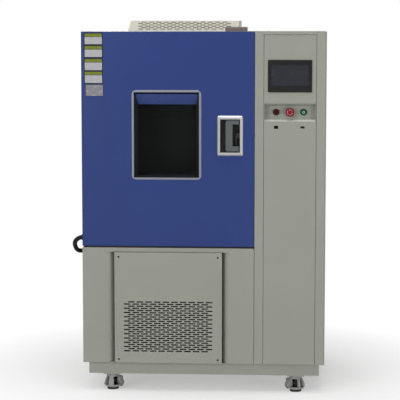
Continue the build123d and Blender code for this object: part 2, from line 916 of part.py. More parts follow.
def door_skin():
    skin = block((door_skin_start, door_width), (0, sheet), (door_bottom, body_top))
    edges = skin.faces().sort_by(Axis.Y)[0].edges()
    skin = fillet(edges, 1.2)
    lap = skin_lap
    x = (window_left + lap, window_right - lap)
    window = front_plate(x, (window_bottom + lap, window_top - lap), (-10, 10), lap)
    return skin - window - pocket_block(seat_gap, -10, 10)


def pocket_block(clearance, near, far):
    """The room for the handle's pocket in the door."""
    wall = pocket_wall + clearance
    x = (handle_left + handle_rim - wall, handle_right - handle_rim + wall)
    z = (handle_bottom + handle_rim_z - wall, handle_top - handle_rim_z + wall)
    return block(x, (near, far), z)


def door_pan():
    """The pressed inner half of the door: edges and inner face, with a narrow lip at the front left."""
    z = (door_bottom, body_top)
    pan = block((0, door_width), (sheet, door_depth), z)
    pan -= block((sheet, door_width - sheet), (sheet - 5, door_depth - sheet), (z[0] + sheet, z[1] - sheet))
    pan += block((0, door_skin_start), (0, sheet), z)
    pan -= window_shaft(60, 90)
    pan -= latch_channel()
    spot = conduit_points[0]
    return pan - rod_x((-5, 5), spot[1], spot[2], conduit_gland_radius - 4)


def window_shaft(near, far):
    x = (window_left + window_rim, window_right - window_rim)
    return block(x, (near, far), (window_bottom + window_rim, window_top - window_rim))


def latch_channel():
    x = (handle_right - handle_rim - 1, door_width + 5)
    return block(
        x, (bolt_front - bolt_play, bolt_front + bolt_depth + bolt_play),
        (bolt_bottom - bolt_play, bolt_bottom + bolt_height + bolt_play)
    )


def door_insulation():
    """Boards cut round the window shaft, the handle pocket and the latch channel."""
    x = (sheet, door_width - sheet)
    d = (sheet, door_depth - sheet)
    z = (door_bottom + sheet, body_top - sheet)
    wx = (window_left + window_rim - 3, window_right - window_rim + 3)
    wz = (window_bottom + window_rim - 3, window_top - window_rim + 3)
    wall = pocket_wall + seat_gap
    px = (handle_left + handle_rim - wall, handle_right - handle_rim + wall)
    pz = (handle_bottom + handle_rim_z - wall, handle_top - handle_rim_z + wall)
    cz = (bolt_bottom - bolt_play, bolt_bottom + bolt_height + bolt_play)
    return group([
        block(x, d, (z[0], wz[0])),
        block(x, d, (wz[1], z[1])),
        block((x[0], wx[0]), d, wz),
        block((wx[1], x[1]), d, (wz[0], pz[0])),
        block((wx[1], x[1]), d, (pz[1], wz[1])),
        block((wx[1], px[0]), d, pz),
        block((px[1], x[1]), d, (pz[0], cz[0])),
        block((px[1], x[1]), d, (cz[1], pz[1])),
        block((px[0], px[1]), (pocket_depth + pocket_wall + seat_gap, d[1]), pz),
        block((px[1], x[1]), (bolt_front + bolt_depth + bolt_play, d[1]), cz),
    ])


def door_gasket():
    width = 18.0
    margin = 22.0
    x = (test_left - margin, test_right + margin)
    z = (test_bottom - margin, test_top + margin)
    d = (door_depth, door_depth + door_gap - seat_gap)
    ring = front_plate(x, z, d, 20.0)
    return ring - front_plate((x[0] + width, x[1] - width), (z[0] + width, z[1] - width), (d[0] - 5, d[1] + 5), 4.0)


def window_frame():
    """The bright rim and the recess walls that taper back to the glass."""
    x = (window_left, window_right)
    z = (window_bottom, window_top)
    rim = front_plate(x, z, (-window_stand_out, 0), window_corner)
    rim = chamfer(rim.faces().sort_by(Axis.Y)[0].edges(), 1.5)
    walls = block(
        (x[0] + window_rim - 2, x[1] - window_rim + 2), (0, window_recess),
        (z[0] + window_rim - 2, z[1] - window_rim + 2),
    )
    front = Plane(origin=place(sum(x) / 2, -window_stand_out - 1, sum(z) / 2), x_dir=(1, 0, 0), z_dir=(0, -1, 0))
    back = Plane(origin=place(sum(x) / 2, window_recess + 1, sum(z) / 2), x_dir=(1, 0, 0), z_dir=(0, -1, 0))
    wide = window_width - 2 * window_rim
    high = window_height - 2 * window_rim
    mouth = front * Rectangle(wide, high)
    end = back * Rectangle(wide - 2 * window_taper, high - window_taper)
    return rim + walls - loft([mouth, end], ruled=True)


def lamp_hood():
    """The slanted hood at the top of the window recess, and the lamp tube behind it."""
    top = window_top - hood_drop_top
    bottom = window_top - hood_drop_bottom
    side = window_rim + window_taper / 2
    corners = [
        place(window_left + side, 6, top),
        place(window_left + side, 6 + sheet, top + sheet),
        place(window_left + side, window_recess - 2 * seat_gap, bottom + sheet),
        place(window_left + side, window_recess - 2 * seat_gap, bottom),
    ]
    plate = extrude(make_face(Polyline(*corners, close=True)), window_width - 2 * side, dir=(1, 0, 0))
    lamp_x = (window_left + side, window_right - side)
    lamp = rod_x(lamp_x, window_recess - lamp_radius - seat_gap, top - lamp_drop, lamp_radius)
    return group([plate - window_frame(), lamp - window_frame()])


def window_glass():
    x = (window_left + window_rim, window_right - window_rim)
    z = (window_bottom + window_rim, window_top - window_rim)
    outer = block(x, (window_recess, window_recess + pane), z)
    inner = block(x, (door_depth - pane, door_depth), z)
    spacer = block(x, (window_recess + pane, door_depth - pane), z)
    spacer -= block((x[0] + 8, x[1] - 8), (0, 100), (z[0] + 8, z[1] - 8))
    return group([outer, inner, spacer])


def handle_frame():
    """The bright rim with the pocket behind it."""
    x = (handle_left, handle_right)
    z = (handle_bottom, handle_top)
    rim = front_plate(x, z, (-handle_stand_out, 0), handle_corner)
    rim = chamfer(rim.faces().sort_by(Axis.Y)[0].edges(), handle_bevel)
    pocket = pocket_block(0.0, 0, pocket_depth + pocket_wall)
    inside = block(
        (x[0] + handle_rim, x[1] - handle_rim), (-50, pocket_depth), (z[0] + handle_rim_z, z[1] - handle_rim_z)
    )
    frame = rim + pocket - inside - latch_channel()
    low, high = grip_pin_ends()
    bore = grip_pin_radius + running_fit
    return frame - rod_z(grip_axis_from_left, grip_axis_depth(), (low - seat_gap, high + seat_gap), bore)


def grip_pin_ends():
    """The pins end just inside the outer faces of the pocket's walls."""
    low = handle_bottom + handle_rim_z - pocket_wall + seat_gap
    high = handle_top - handle_rim_z + pocket_wall - seat_gap
    return low, high


def grip_axis_depth():
    return grip_thickness / 2 - grip_front


def handle_grip():
    """A C-shaped pull hung on two pins at the ends of its arms, with a crank for the latch."""
    d = (-grip_front, grip_thickness - grip_front)
    right = grip_axis_from_left + grip_reach
    grip = block((grip_bar_left, right), d, (grip_bottom, grip_top))
    grip = fillet(grip.edges().filter_by(Axis.Y).group_by(Axis.X)[0], grip_corner)
    low = grip_bottom + grip_lower_arm
    high = grip_top - grip_upper_arm
    grip -= block((grip_bar_left + grip_bar_width, right + 10), (-50, 50), (low, high))
    grip = chamfer(grip.faces().sort_by(Axis.Y)[0].edges(), 2.0)
    depth = grip_axis_depth()
    ends = grip_pin_ends()
    grip += rod_z(grip_axis_from_left, depth, (ends[0], low - 2), grip_pin_radius)
    grip += rod_z(grip_axis_from_left, depth, (high + 2, ends[1]), grip_pin_radius)
    z = (grip_bottom + 3, grip_bottom + 3 + crank_height)
    web = (grip_axis_from_left - crank_nose, grip_axis_from_left + crank_nose)
    grip += block(web, (depth, depth + crank_radius), z)
    return grip + rod_z(grip_axis_from_left, depth + crank_radius, z, crank_nose)


def latch_tongue():
    """The bolt that runs to the door's edge, with a tail that the grip's crank pushes."""
    face = grip_axis_from_left - crank_nose - seat_gap
    front = bolt_front
    height = (bolt_bottom, bolt_bottom + bolt_height)
    bolt = block((face - tail_width, door_width + bolt_nose), (front, front + bolt_depth), height)
    nose = bolt.faces().sort_by(Axis.X)[-1].edges().filter_by(Axis.Z)
    bolt = chamfer(nose, 4.0)
    return bolt + block((face - tail_width, face), (front - 2, front + bolt_depth), (grip_bottom + 3, bolt_bottom + 1))


# Hinges and conduit

def hinge_axis_x():
    return -hinge_stand_out / 2


def knuckle(x, z, radius):
    return rod_z(x, parting, z, radius)


def cabinet_hinge_leaves():
    """The lower knuckle of each hinge with its plate on the cabinet, and the pin fixed in it."""
    pieces = []
    for bottom in hinge_bottoms:
        half = bottom + hinge_height / 2
        barrel = knuckle(hinge_axis_x(), (bottom, half), hinge_barrel)
        plate = block((-hinge_leaf, 0), (parting, parting + hinge_leaf_reach), (bottom, half))
        clear = block((-hinge_leaf - 1, 1), (parting - 1, chamber_face + 1), (bottom - 1, half + 1))
        web = block((-hinge_leaf, hinge_axis_x() + 2), (parting, chamber_face + 2), (bottom, half))
        pin = knuckle(hinge_axis_x(), (half - 5, bottom + hinge_height), hinge_pin)
        pieces.append(barrel + (plate - clear) + web + pin + cabinet_leaf_rise(bottom))
    return group(pieces)


def cabinet_leaf_rise(bottom):
    """The plate's upper half, beside the door leaf's knuckle."""
    return block(
        (-hinge_leaf, 0), (parting + hinge_barrel + 2, parting + hinge_leaf_reach), (bottom, bottom + hinge_height)
    )


def door_hinge_leaves():
    pieces = []
    for bottom in hinge_bottoms:
        half = bottom + hinge_height / 2 + seat_gap
        top = bottom + hinge_height
        barrel = knuckle(hinge_axis_x(), (half, top), hinge_barrel)
        barrel += block((-hinge_leaf, hinge_axis_x() + 2), (door_depth - 2, parting), (half, top))
        plate = block(
            (-hinge_leaf, 0), (parting - hinge_leaf_reach, door_depth), (bottom, top)
        )
        upper = barrel + plate
        clear = block((-20, 10), (parting - hinge_barrel - 2, parting + 20), (bottom - 1, half))
        pieces.append(upper - clear - knuckle(hinge_axis_x(), (half - 5, top + 5), hinge_pin + running_fit))
    return group(pieces)


def conduit_gland(spot):
    """A collar on the left side that takes the conduit's end."""
    nut = rod_x((spot[0], 0), spot[1], spot[2], conduit_gland_radius)
    nut = chamfer(nut.edges().sort_by(Axis.X)[0], 2.0)
    return nut


def cable_glands():
    lower = conduit_gland(conduit_points[-1])
    x = 960.0
    z = 300.0
    body = rod_y(x, (body_depth, body_depth + 12), z, 18.0)
    dome = rod_y(x, (body_depth + 12, body_depth + gland_stand_out), z, 14.0)
    dome = fillet(dome.edges().sort_by(Axis.Y)[-1], 5.0)
    return group([lower, body + dome - rod_y(x, (body_depth + 5, body_depth + 60), z, 7.0)])


def conduit_radii(points):
    """One bend radius for each inner point of the route."""
    radii = []
    for before, here, after in zip(points, points[1:], points[2:]):
        run_in = here - before
        run_out = after - here
        turn = radians(run_in.get_angle(run_out))
        radii.append(0.45 * min(run_in.length, run_out.length) / tan(turn / 2))
    return radii


def door_wiring_conduit():
    points = [place(*point) for point in conduit_points]
    radii = conduit_radii(points)
    print("conduit bend radii", [round(radius, 1) for radius in radii])
    path = FilletPolyline(*points, radius=radii)
    tube = sweep(Plane(origin=path @ 0, z_dir=path % 0) * Circle(conduit_diameter / 2), path)
    print("conduit length", round(path.length, 1), "volume", round(tube.volume))
    print("section times length", round(pi * conduit_diameter**2 / 4 * path.length))
    return tube


# Castors

def castor_places():
    right = body_width - castor_from_side
    back = body_depth - castor_from_rear
    return {
        "front_left": (castor_from_side, castor_from_front),
        "front_right": (right, castor_from_front),
        "rear_left": (castor_from_side, back),
        "rear_right": (right, back),
    }


def castor_top_plate(x, d):
    half = castor_plate / 2
    plate_bottom = castor_height - castor_plate_thickness
    plate = block((x - half, x + half), (d - half, d + half), (plate_bottom, castor_height))
    plate += rod_z(x, d, (plate_bottom - spigot_height, plate_bottom), spigot_radius)
    return plate - rod_z(x, d, (plate_bottom - 20, castor_height + 5), stem_radius + running_fit)


def housing_profile(top):
    """Half section of the housing, from the dish at the bottom to the shoulder at the top."""
    outer = housing_radius
    points = [
        (pad_radius + 2, housing_bottom),
        (outer - 6, housing_bottom + 2),
        (outer, housing_bottom + 11),
        (outer, housing_bottom + 23),
        (outer - 6, housing_bottom + 40),
        (outer - 14, top - 8),
        (outer - 16, top),
        (0, top),
        (0, housing_floor),
        (pad_radius + 2, housing_floor),
    ]
    return make_face(Polyline(*[(x, 0, z) for x, z in points], close=True))


def castor_housing(x, d, angle):
    """A cast housing with windows on the dial, a hollow dish for the pad and a fork for the wheel."""
    top = castor_height - castor_plate_thickness - seat_gap
    body = revolve(housing_profile(top), Axis.Z)
    cavity_top = top - housing_wall
    floor = housing_floor + 4
    fork = (housing_floor + wheel_clearance, fork_top)
    fork_height = fork[1] - fork[0]
    body += Pos(wheel_offset - fork_length / 3, 0, sum(fork) / 2) * Box(fork_length, wheel_width + 2 * cheek, fork_height)
    body += Pos(wheel_offset, 0, wheel_centre()) * Rot(90, 0, 0) * Cylinder(fork_nose, wheel_width + 2 * cheek)
    body -= Pos(0, 0, (floor + cavity_top) / 2) * Cylinder(cavity_radius, cavity_top - floor)
    for start, end in housing_windows:
        body -= housing_window(start, end, floor, cavity_top - sheet)
    gap = wheel_clearance
    cut = Rot(90, 0, 0) * Cylinder(wheel_radius + gap, wheel_width + 2 * gap)
    body -= Pos(wheel_offset, 0, wheel_centre()) * cut
    body += Pos(wheel_offset, 0, wheel_centre()) * Rot(90, 0, 0) * Cylinder(axle_radius, wheel_width + 2 * cheek)
    body -= Pos(0, 0, top) * Cylinder(spigot_radius + running_fit, 2 * (spigot_height + seat_gap))
    body -= Pos(0, 0, 40) * Cylinder(stem_radius + 2, 100)
    return Pos(*place(x, d, 0)) * Rot(0, 0, angle) * body


def housing_window(start, end, floor, top):
    """A sector cut through the housing's wall."""
    reach = housing_radius + 10
    steps = 6
    corners = [(0, 0)]
    for step in range(steps + 1):
        turn = radians(start + (end - start) * step / steps)
        corners.append((reach * cos(turn), reach * sin(turn)))
    wedge = extrude(make_face(Polyline(*corners, close=True)), top - floor)
    return Pos(0, 0, floor) * wedge


def wheel_centre():
    return wheel_lift + wheel_radius


def castor_wheel(x, d, angle):
    tread = Rot(90, 0, 0) * Cylinder(wheel_radius, wheel_width)
    tread = chamfer(tread.edges(), 2.5)
    tread -= Rot(90, 0, 0) * Cylinder(axle_radius + running_fit, wheel_width + 5)
    return Pos(*place(x, d, 0)) * Rot(0, 0, angle) * Pos(wheel_offset, 0, wheel_centre()) * tread


def castor_pad(x, d):
    """The rubber pad on its screw, with the dial that turns it."""
    pad = rod_z(x, d, (0, pad_thickness), pad_radius)
    pad = chamfer(pad.edges().sort_by(Axis.Z)[-1], 3.0)
    pad += rod_z(x, d, (pad_thickness - 1, castor_height + 4), stem_radius)
    return pad + rod_z(x, d, (dial_bottom, dial_bottom + dial_height), dial_radius)


# All nodes

def all_nodes():
    nodes = {
        "base_frame": base_frame(),
        "side_panels": side_panels(),
        "column_posts": column_posts(),
        "column_front_panels": column_front_panels(),
        "button_tray": button_tray(),
        "roof_and_deck_panels": roof_and_deck_panels(),
        "lower_front_frame": lower_front_frame(),
        "grille_panel": grille_panel(),
        "rear_panels": rear_panels(),
        "side_panel_grip": side_panel_grip(),
        "vent_hood": vent_hood(),
        "roof_junction_box": roof_junction_box(),
        "insulation": insulation(),
        "chamber_liner": chamber_liner(),
        "air_baffle": air_baffle(),
        "evaporator_and_heater": evaporator_and_heater(),
        "circulation_motor": circulation_motor(),
        "circulation_fan": circulation_fan(),
        "shelf_rails": shelf_rails(),
        "wire_shelves": wire_shelves(),
        "compressor": compressor(),
        "condenser_coil": condenser_coil(),
        "condenser_fan_mount": condenser_fan_mount(),
        "condenser_fan": condenser_fan(),
        "electrical_plate": electrical_plate(),
        "hmi_housing": hmi_housing(),
        "hmi_screen": hmi_screen(),
        "alarm_lamp": alarm_lamp(),
        "button_bezels": button_bezels(),
        "stop_plunger": stop_plunger(),
        "stop_head": stop_head_piece(),
        "start_button": start_button(),
        "service_sockets": service_sockets(),
        "door_skin": door_skin(),
        "door_pan": door_pan(),
        "door_insulation": door_insulation(),
        "door_gasket": door_gasket(),
        "window_frame": window_frame(),
        "lamp_hood": lamp_hood(),
        "window_glass": window_glass(),
        "handle_frame": handle_frame(),
        "handle_grip": handle_grip(),
        "latch_tongue": latch_tongue(),
        "cabinet_hinge_leaves": cabinet_hinge_leaves(),
        "door_hinge_leaves": door_hinge_leaves(),
        "door_conduit_gland": conduit_gland(conduit_points[0]),
        "cable_glands": cable_glands(),
        "door_wiring_conduit": door_wiring_conduit(),
    }
    for corner, (x, d) in castor_places().items():
        angle = castor_angles[corner]
        nodes["castor_housing_" + corner] = castor_housing(x, d, angle)
        nodes["castor_wheel_" + corner] = castor_wheel(x, d, angle)
        nodes["castor_pad_" + corner] = castor_pad(x, d)
    return nodes


os.makedirs("parts", exist_ok=True)
for name, shape in all_nodes().items():
    export_step(shape, os.path.join("parts", name + ".step"))
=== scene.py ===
import json
from math import cos, pi, radians, sin

import bmesh
import bpy
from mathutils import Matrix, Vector


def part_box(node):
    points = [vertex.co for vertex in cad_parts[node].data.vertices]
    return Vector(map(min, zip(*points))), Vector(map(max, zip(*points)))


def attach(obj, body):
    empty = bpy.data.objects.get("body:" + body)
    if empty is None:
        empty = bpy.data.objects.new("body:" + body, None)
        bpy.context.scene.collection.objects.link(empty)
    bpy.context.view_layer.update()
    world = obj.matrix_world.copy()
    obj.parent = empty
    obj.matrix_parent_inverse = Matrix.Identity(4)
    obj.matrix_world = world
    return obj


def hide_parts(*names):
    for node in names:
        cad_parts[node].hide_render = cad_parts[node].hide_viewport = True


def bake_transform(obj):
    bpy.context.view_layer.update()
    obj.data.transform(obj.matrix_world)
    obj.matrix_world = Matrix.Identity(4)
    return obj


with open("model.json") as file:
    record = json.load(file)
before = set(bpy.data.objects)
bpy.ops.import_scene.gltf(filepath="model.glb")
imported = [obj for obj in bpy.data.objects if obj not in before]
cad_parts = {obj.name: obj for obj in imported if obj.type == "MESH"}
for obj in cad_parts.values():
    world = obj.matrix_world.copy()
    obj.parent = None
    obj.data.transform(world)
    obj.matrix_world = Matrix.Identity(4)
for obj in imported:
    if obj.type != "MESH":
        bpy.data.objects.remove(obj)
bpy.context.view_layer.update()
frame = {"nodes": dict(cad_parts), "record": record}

# Places are given in millimetres: right of the cabinet's left side, behind the front plane, above the floor
LEFT_SIDE = -555.5
FRONT_PLANE = -500.0
BODY_WIDTH = 1120.0
BODY_DEPTH = 980.0
BODY_TOP = 1668.0
CORNERS = ("front_left", "front_right", "rear_left", "rear_right")


def place(x, d, z):
    return Vector((LEFT_SIDE + x, FRONT_PLANE + d, z)) / 1000.0


# Camera: its place in metres, how far it looks down and turns left in radians, and its lens in millimetres

CAMERA_PLACE = (0.461, -7.837, 1.69)
CAMERA_DIP = 0.1072
CAMERA_TURN = 0.0642
CAMERA_LENS = 145.0
SENSOR_WIDTH = 36.0


def set_camera():
    data = bpy.data.cameras.new("Camera")
    data.lens = CAMERA_LENS
    data.sensor_width = SENSOR_WIDTH
    camera = bpy.data.objects.new("Camera", data)
    camera.location = CAMERA_PLACE
    camera.rotation_euler = (pi / 2 - CAMERA_DIP, 0.0, CAMERA_TURN)
    bpy.context.scene.collection.objects.link(camera)
    bpy.context.scene.camera = camera


set_camera()


# Node helpers

def add_node(tree, kind, inputs=None, **settings):
    """A node with its settings; each input is linked to a socket or holds a value."""
    made = tree.nodes.new(kind)
    for key, value in settings.items():
        setattr(made, key, value)
    for key, value in (inputs or {}).items():
        if isinstance(value, bpy.types.NodeSocket):
            tree.links.new(value, made.inputs[key])
        else:
            made.inputs[key].default_value = value
    return made


def shader_group(name, inputs, outputs):
    """An empty shader node group with its named sockets, and its input and output nodes."""
    tree = bpy.data.node_groups.new(name, "ShaderNodeTree")
    for label, kind, value in inputs:
        socket = tree.interface.new_socket(label, in_out="INPUT", socket_type=kind)
        if value is not None:
            socket.default_value = value
    for label, kind in outputs:
        tree.interface.new_socket(label, in_out="OUTPUT", socket_type=kind)
    return tree, tree.nodes.new("NodeGroupInput"), tree.nodes.new("NodeGroupOutput")


def noise(tree, vector, scale, detail=3.0, roughness=0.5):
    return add_node(tree, "ShaderNodeTexNoise", {
        "Vector": vector, "Scale": scale, "Detail": detail, "Roughness": roughness,
    }).outputs[0]


def spread(tree, value, low, high, to_low=0.0, to_high=1.0):
    """The value's range from low to high, stretched over another range."""
    return add_node(tree, "ShaderNodeMapRange", {
        "Value": value, "From Min": low, "From Max": high, "To Min": to_low, "To Max": to_high,
    }).outputs["Result"]


def arithmetic(tree, operation, first, second=0.0):
    return add_node(tree, "ShaderNodeMath", {0: first, 1: second}, operation=operation).outputs[0]


def blend_colour(tree, factor, first, second):
    return add_node(tree, "ShaderNodeMix", {0: factor, 6: first, 7: second}, data_type="RGBA").outputs[2]


# Effects that several materials share

def make_powder_coat():
    """Fine orange peel with soft, cloudy changes of tone."""
    tree, start, end = shader_group(
        "powder_coat_texture",
        [
            ("Coordinates", "NodeSocketVector", None),
            ("Colour", "NodeSocketColor", (0.5, 0.5, 0.5, 1.0)),
            ("Deep Colour", "NodeSocketColor", (0.4, 0.4, 0.4, 1.0)),
            ("Cloud Scale", "NodeSocketFloat", 3.0),
            ("Peel Scale", "NodeSocketFloat", 900.0),
            ("Least Roughness", "NodeSocketFloat", 0.4),
            ("Most Roughness", "NodeSocketFloat", 0.5),
        ],
        [("Colour", "NodeSocketColor"), ("Roughness", "NodeSocketFloat"), ("Height", "NodeSocketFloat")],
    )
    vector = start.outputs["Coordinates"]
    cloud = noise(tree, vector, start.outputs["Cloud Scale"], 4.0, 0.55)
    peel = noise(tree, vector, start.outputs["Peel Scale"], 2.0, 0.4)
    patch = spread(tree, cloud, 0.35, 0.7)
    speck = arithmetic(tree, "MULTIPLY", spread(tree, peel, 0.35, 0.65), 0.35)
    share = arithmetic(tree, "ADD", arithmetic(tree, "MULTIPLY", patch, 0.65), speck)
    colour = blend_colour(tree, share, start.outputs["Colour"], start.outputs["Deep Colour"])
    tree.links.new(colour, end.inputs["Colour"])
    rough = spread(tree, cloud, 0.3, 0.7, start.outputs["Least Roughness"], start.outputs["Most Roughness"])
    tree.links.new(rough, end.inputs["Roughness"])
    tree.links.new(peel, end.inputs["Height"])
    return tree


def make_settled_dust():
    """A mask for dust that lies on what faces up, and gathers low down near the floor."""
    tree, start, end = shader_group(
        "settled_dust",
        [
            ("Coordinates", "NodeSocketVector", None),
            ("Amount", "NodeSocketFloat", 0.5),
            ("Floor Reach", "NodeSocketFloat", 0.25),
        ],
        [("Mask", "NodeSocketFloat")],
    )
    normal = tree.nodes.new("ShaderNodeNewGeometry").outputs["Normal"]
    up = add_node(tree, "ShaderNodeSeparateXYZ", {0: normal}).outputs[2]
    height = add_node(tree, "ShaderNodeSeparateXYZ", {0: start.outputs["Coordinates"]}).outputs[2]
    low = spread(tree, height, start.outputs["Floor Reach"], 0.0, 0.0, 0.45)
    flat = spread(tree, up, 0.6, 1.0)
    grain = spread(tree, noise(tree, start.outputs["Coordinates"], 45.0, 6.0, 0.7), 0.35, 0.75)
    both = arithmetic(tree, "MULTIPLY", arithmetic(tree, "MAXIMUM", low, flat), grain)
    tree.links.new(arithmetic(tree, "MULTIPLY", both, start.outputs["Amount"]), end.inputs["Mask"])
    return tree


def make_brushed_grain():
    """Long fine scratches: the coordinates are squeezed across the brushing direction."""
    tree, start, end = shader_group(
        "brushed_grain",
        [
            ("Coordinates", "NodeSocketVector", None),
            ("Squeeze", "NodeSocketVector", (4.0, 900.0, 900.0)),
            ("Least Roughness", "NodeSocketFloat", 0.25),
            ("Most Roughness", "NodeSocketFloat", 0.42),
        ],
        [("Streak", "NodeSocketFloat"), ("Roughness", "NodeSocketFloat"), ("Height", "NodeSocketFloat")],
    )
    vector = start.outputs["Coordinates"]
    squeezed = {0: vector, 1: start.outputs["Squeeze"]}
    stretched = add_node(tree, "ShaderNodeVectorMath", squeezed, operation="MULTIPLY").outputs[0]
    streak = noise(tree, stretched, 1.0, 3.0, 0.6)
    smear = arithmetic(tree, "MULTIPLY", noise(tree, vector, 7.0, 3.0, 0.5), 0.4)
    rough = arithmetic(tree, "ADD", arithmetic(tree, "MULTIPLY", streak, 0.6), smear)
    tree.links.new(spread(tree, streak, 0.3, 0.7), end.inputs["Streak"])
    rough = spread(tree, rough, 0.3, 0.7, start.outputs["Least Roughness"], start.outputs["Most Roughness"])
    tree.links.new(rough, end.inputs["Roughness"])
    tree.links.new(streak, end.inputs["Height"])
    return tree


def make_moulded_grain():
    """The fine spark texture of moulded plastic and cast metal, with a few handling marks."""
    tree, start, end = shader_group(
        "moulded_grain",
        [
            ("Coordinates", "NodeSocketVector", None),
            ("Colour", "NodeSocketColor", (0.1, 0.1, 0.1, 1.0)),
            ("Worn Colour", "NodeSocketColor", (0.2, 0.2, 0.2, 1.0)),
            ("Grain Scale", "NodeSocketFloat", 1400.0),
            ("Least Roughness", "NodeSocketFloat", 0.35),
            ("Most Roughness", "NodeSocketFloat", 0.55),
        ],
        [("Colour", "NodeSocketColor"), ("Roughness", "NodeSocketFloat"), ("Height", "NodeSocketFloat")],
    )
    vector = start.outputs["Coordinates"]
    cells = {"Vector": vector, "Scale": start.outputs["Grain Scale"]}
    grain = add_node(tree, "ShaderNodeTexVoronoi", cells, feature="F1").outputs["Distance"]
    marks = noise(tree, vector, 60.0, 5.0, 0.65)
    worn = spread(tree, marks, 0.52, 0.78)
    colour = blend_colour(tree, worn, start.outputs["Colour"], start.outputs["Worn Colour"])
    tree.links.new(colour, end.inputs["Colour"])
    rough = spread(tree, marks, 0.3, 0.7, start.outputs["Least Roughness"], start.outputs["Most Roughness"])
    tree.links.new(rough, end.inputs["Roughness"])
    tree.links.new(grain, end.inputs["Height"])
    return tree


POWDER_COAT = make_powder_coat()
SETTLED_DUST = make_settled_dust()
BRUSHED_GRAIN = make_brushed_grain()
MOULDED_GRAIN = make_moulded_grain()
DUST_ON_PAINT = (0.46, 0.45, 0.42, 1.0)
DUST_ON_PLASTIC = (0.3, 0.29, 0.27, 1.0)


def shade(colour, factor):
    return tuple(channel * factor for channel in colour[:3]) + (1.0,)


def start_material(name):
    """An empty material with its Principled shader and its Object coordinates."""
    material = bpy.data.materials.new(name)
    material.use_nodes = True
    tree = material.node_tree
    shader = tree.nodes["Principled BSDF"]
    coordinates = tree.nodes.new("ShaderNodeTexCoord").outputs["Object"]
    return material, tree, shader, coordinates


def use_group(tree, group, inputs):
    return add_node(tree, "ShaderNodeGroup", inputs, node_tree=group)


def add_bump(tree, shader, height, strength, distance):
    bump = add_node(tree, "ShaderNodeBump", {"Strength": strength, "Distance": distance, "Height": height})
    tree.links.new(bump.outputs[0], shader.inputs["Normal"])


def painted(name, colour, deep=0.9, rough=(0.38, 0.5), peel=900.0, dust=0.35, bump=0.08, specular=0.25):
    """Powder coated sheet metal with orange peel, soft clouds of tone and a little dust."""
    material, tree, shader, coordinates = start_material(name)
    coat = use_group(tree, POWDER_COAT, {
        "Coordinates": coordinates, "Colour": shade(colour, 1.0), "Deep Colour": shade(colour, deep),
        "Peel Scale": peel, "Least Roughness": rough[0], "Most Roughness": rough[1],
    })
    mask = use_group(tree, SETTLED_DUST, {"Coordinates": coordinates, "Amount": dust})
    final = blend_colour(tree, mask.outputs["Mask"], coat.outputs["Colour"], DUST_ON_PAINT)
    tree.links.new(final, shader.inputs["Base Color"])
    tree.links.new(coat.outputs["Roughness"], shader.inputs["Roughness"])
    shader.inputs["Specular IOR Level"].default_value = specular
    add_bump(tree, shader, coat.outputs["Height"], bump, 0.0004)
    return material


def brushed(name, colour, squeeze, rough=(0.25, 0.42), bump=0.05):
    """Bare metal with brushing lines."""
    material, tree, shader, coordinates = start_material(name)
    grain = use_group(tree, BRUSHED_GRAIN, {
        "Coordinates": coordinates, "Squeeze": squeeze,
        "Least Roughness": rough[0], "Most Roughness": rough[1],
    })
    final = blend_colour(tree, grain.outputs["Streak"], shade(colour, 1.0), shade(colour, 0.82))
    tree.links.new(final, shader.inputs["Base Color"])
    tree.links.new(grain.outputs["Roughness"], shader.inputs["Roughness"])
    shader.inputs["Metallic"].default_value = 1.0
    add_bump(tree, shader, grain.outputs["Height"], bump, 0.0003)
    return material


def moulded(
    name, colour, worn=1.25, rough=(0.35, 0.55), grain=1400.0, metal=0.0, bump=0.06, dust=0.0, specular=0.2
):
    """Moulded plastic, rubber or cast metal with a fine grain and worn patches."""
    material, tree, shader, coordinates = start_material(name)
    skin = use_group(tree, MOULDED_GRAIN, {
        "Coordinates": coordinates, "Colour": shade(colour, 1.0), "Worn Colour": shade(colour, worn),
        "Grain Scale": grain, "Least Roughness": rough[0], "Most Roughness": rough[1],
    })
    final = skin.outputs["Colour"]
    if dust:
        mask = use_group(tree, SETTLED_DUST, {"Coordinates": coordinates, "Amount": dust})
        final = blend_colour(tree, mask.outputs["Mask"], final, DUST_ON_PLASTIC)
    tree.links.new(final, shader.inputs["Base Color"])
    tree.links.new(skin.outputs["Roughness"], shader.inputs["Roughness"])
    shader.inputs["Metallic"].default_value = metal
    shader.inputs["Specular IOR Level"].default_value = specular
    add_bump(tree, shader, skin.outputs["Height"], bump, 0.0004)
    return material


def lens(name, colour, painted_glow, rough=0.12):
    """A clear coloured lens over a finely grained inner face; its emission is painted light, as no lamp behind
    it is lit.
    """
    material, tree, shader, coordinates = start_material(name)
    skin = use_group(tree, MOULDED_GRAIN, {
        "Coordinates": coordinates, "Colour": shade(colour, 1.0), "Worn Colour": shade(colour, 1.5),
        "Grain Scale": 420.0, "Least Roughness": rough, "Most Roughness": rough + 0.1,
    })
    tree.links.new(skin.outputs["Colour"], shader.inputs["Base Color"])
    tree.links.new(skin.outputs["Roughness"], shader.inputs["Roughness"])
    shader.inputs["Coat Weight"].default_value = 0.08
    shader.inputs["Coat Roughness"].default_value = 0.08
    shader.inputs["Specular IOR Level"].default_value = 0.08
    shader.inputs["Emission Color"].default_value = shade(colour, 1.0)
    shader.inputs["Emission Strength"].default_value = painted_glow
    add_bump(tree, shader, skin.outputs["Height"], 0.1, 0.0005)
    return material


def shade_darkened_glass():
    """Window glass with a few smears, its colour darkened as painted shade for the unlit inside of the chamber
    seen through it.
    """
    material, tree, shader, coordinates = start_material("window_glass_painted_shade")
    smear = noise(tree, coordinates, 9.0, 5.0, 0.6)
    tree.links.new(spread(tree, smear, 0.3, 0.8, 0.015, 0.06), shader.inputs["Roughness"])
    # painted shade: this grey darkens the unlit inside of the chamber seen through the glass
    shader.inputs["Base Color"].default_value = (0.38, 0.42, 0.41, 1.0)
    shader.inputs["Transmission Weight"].default_value = 1.0
    shader.inputs["IOR"].default_value = 1.13
    return material


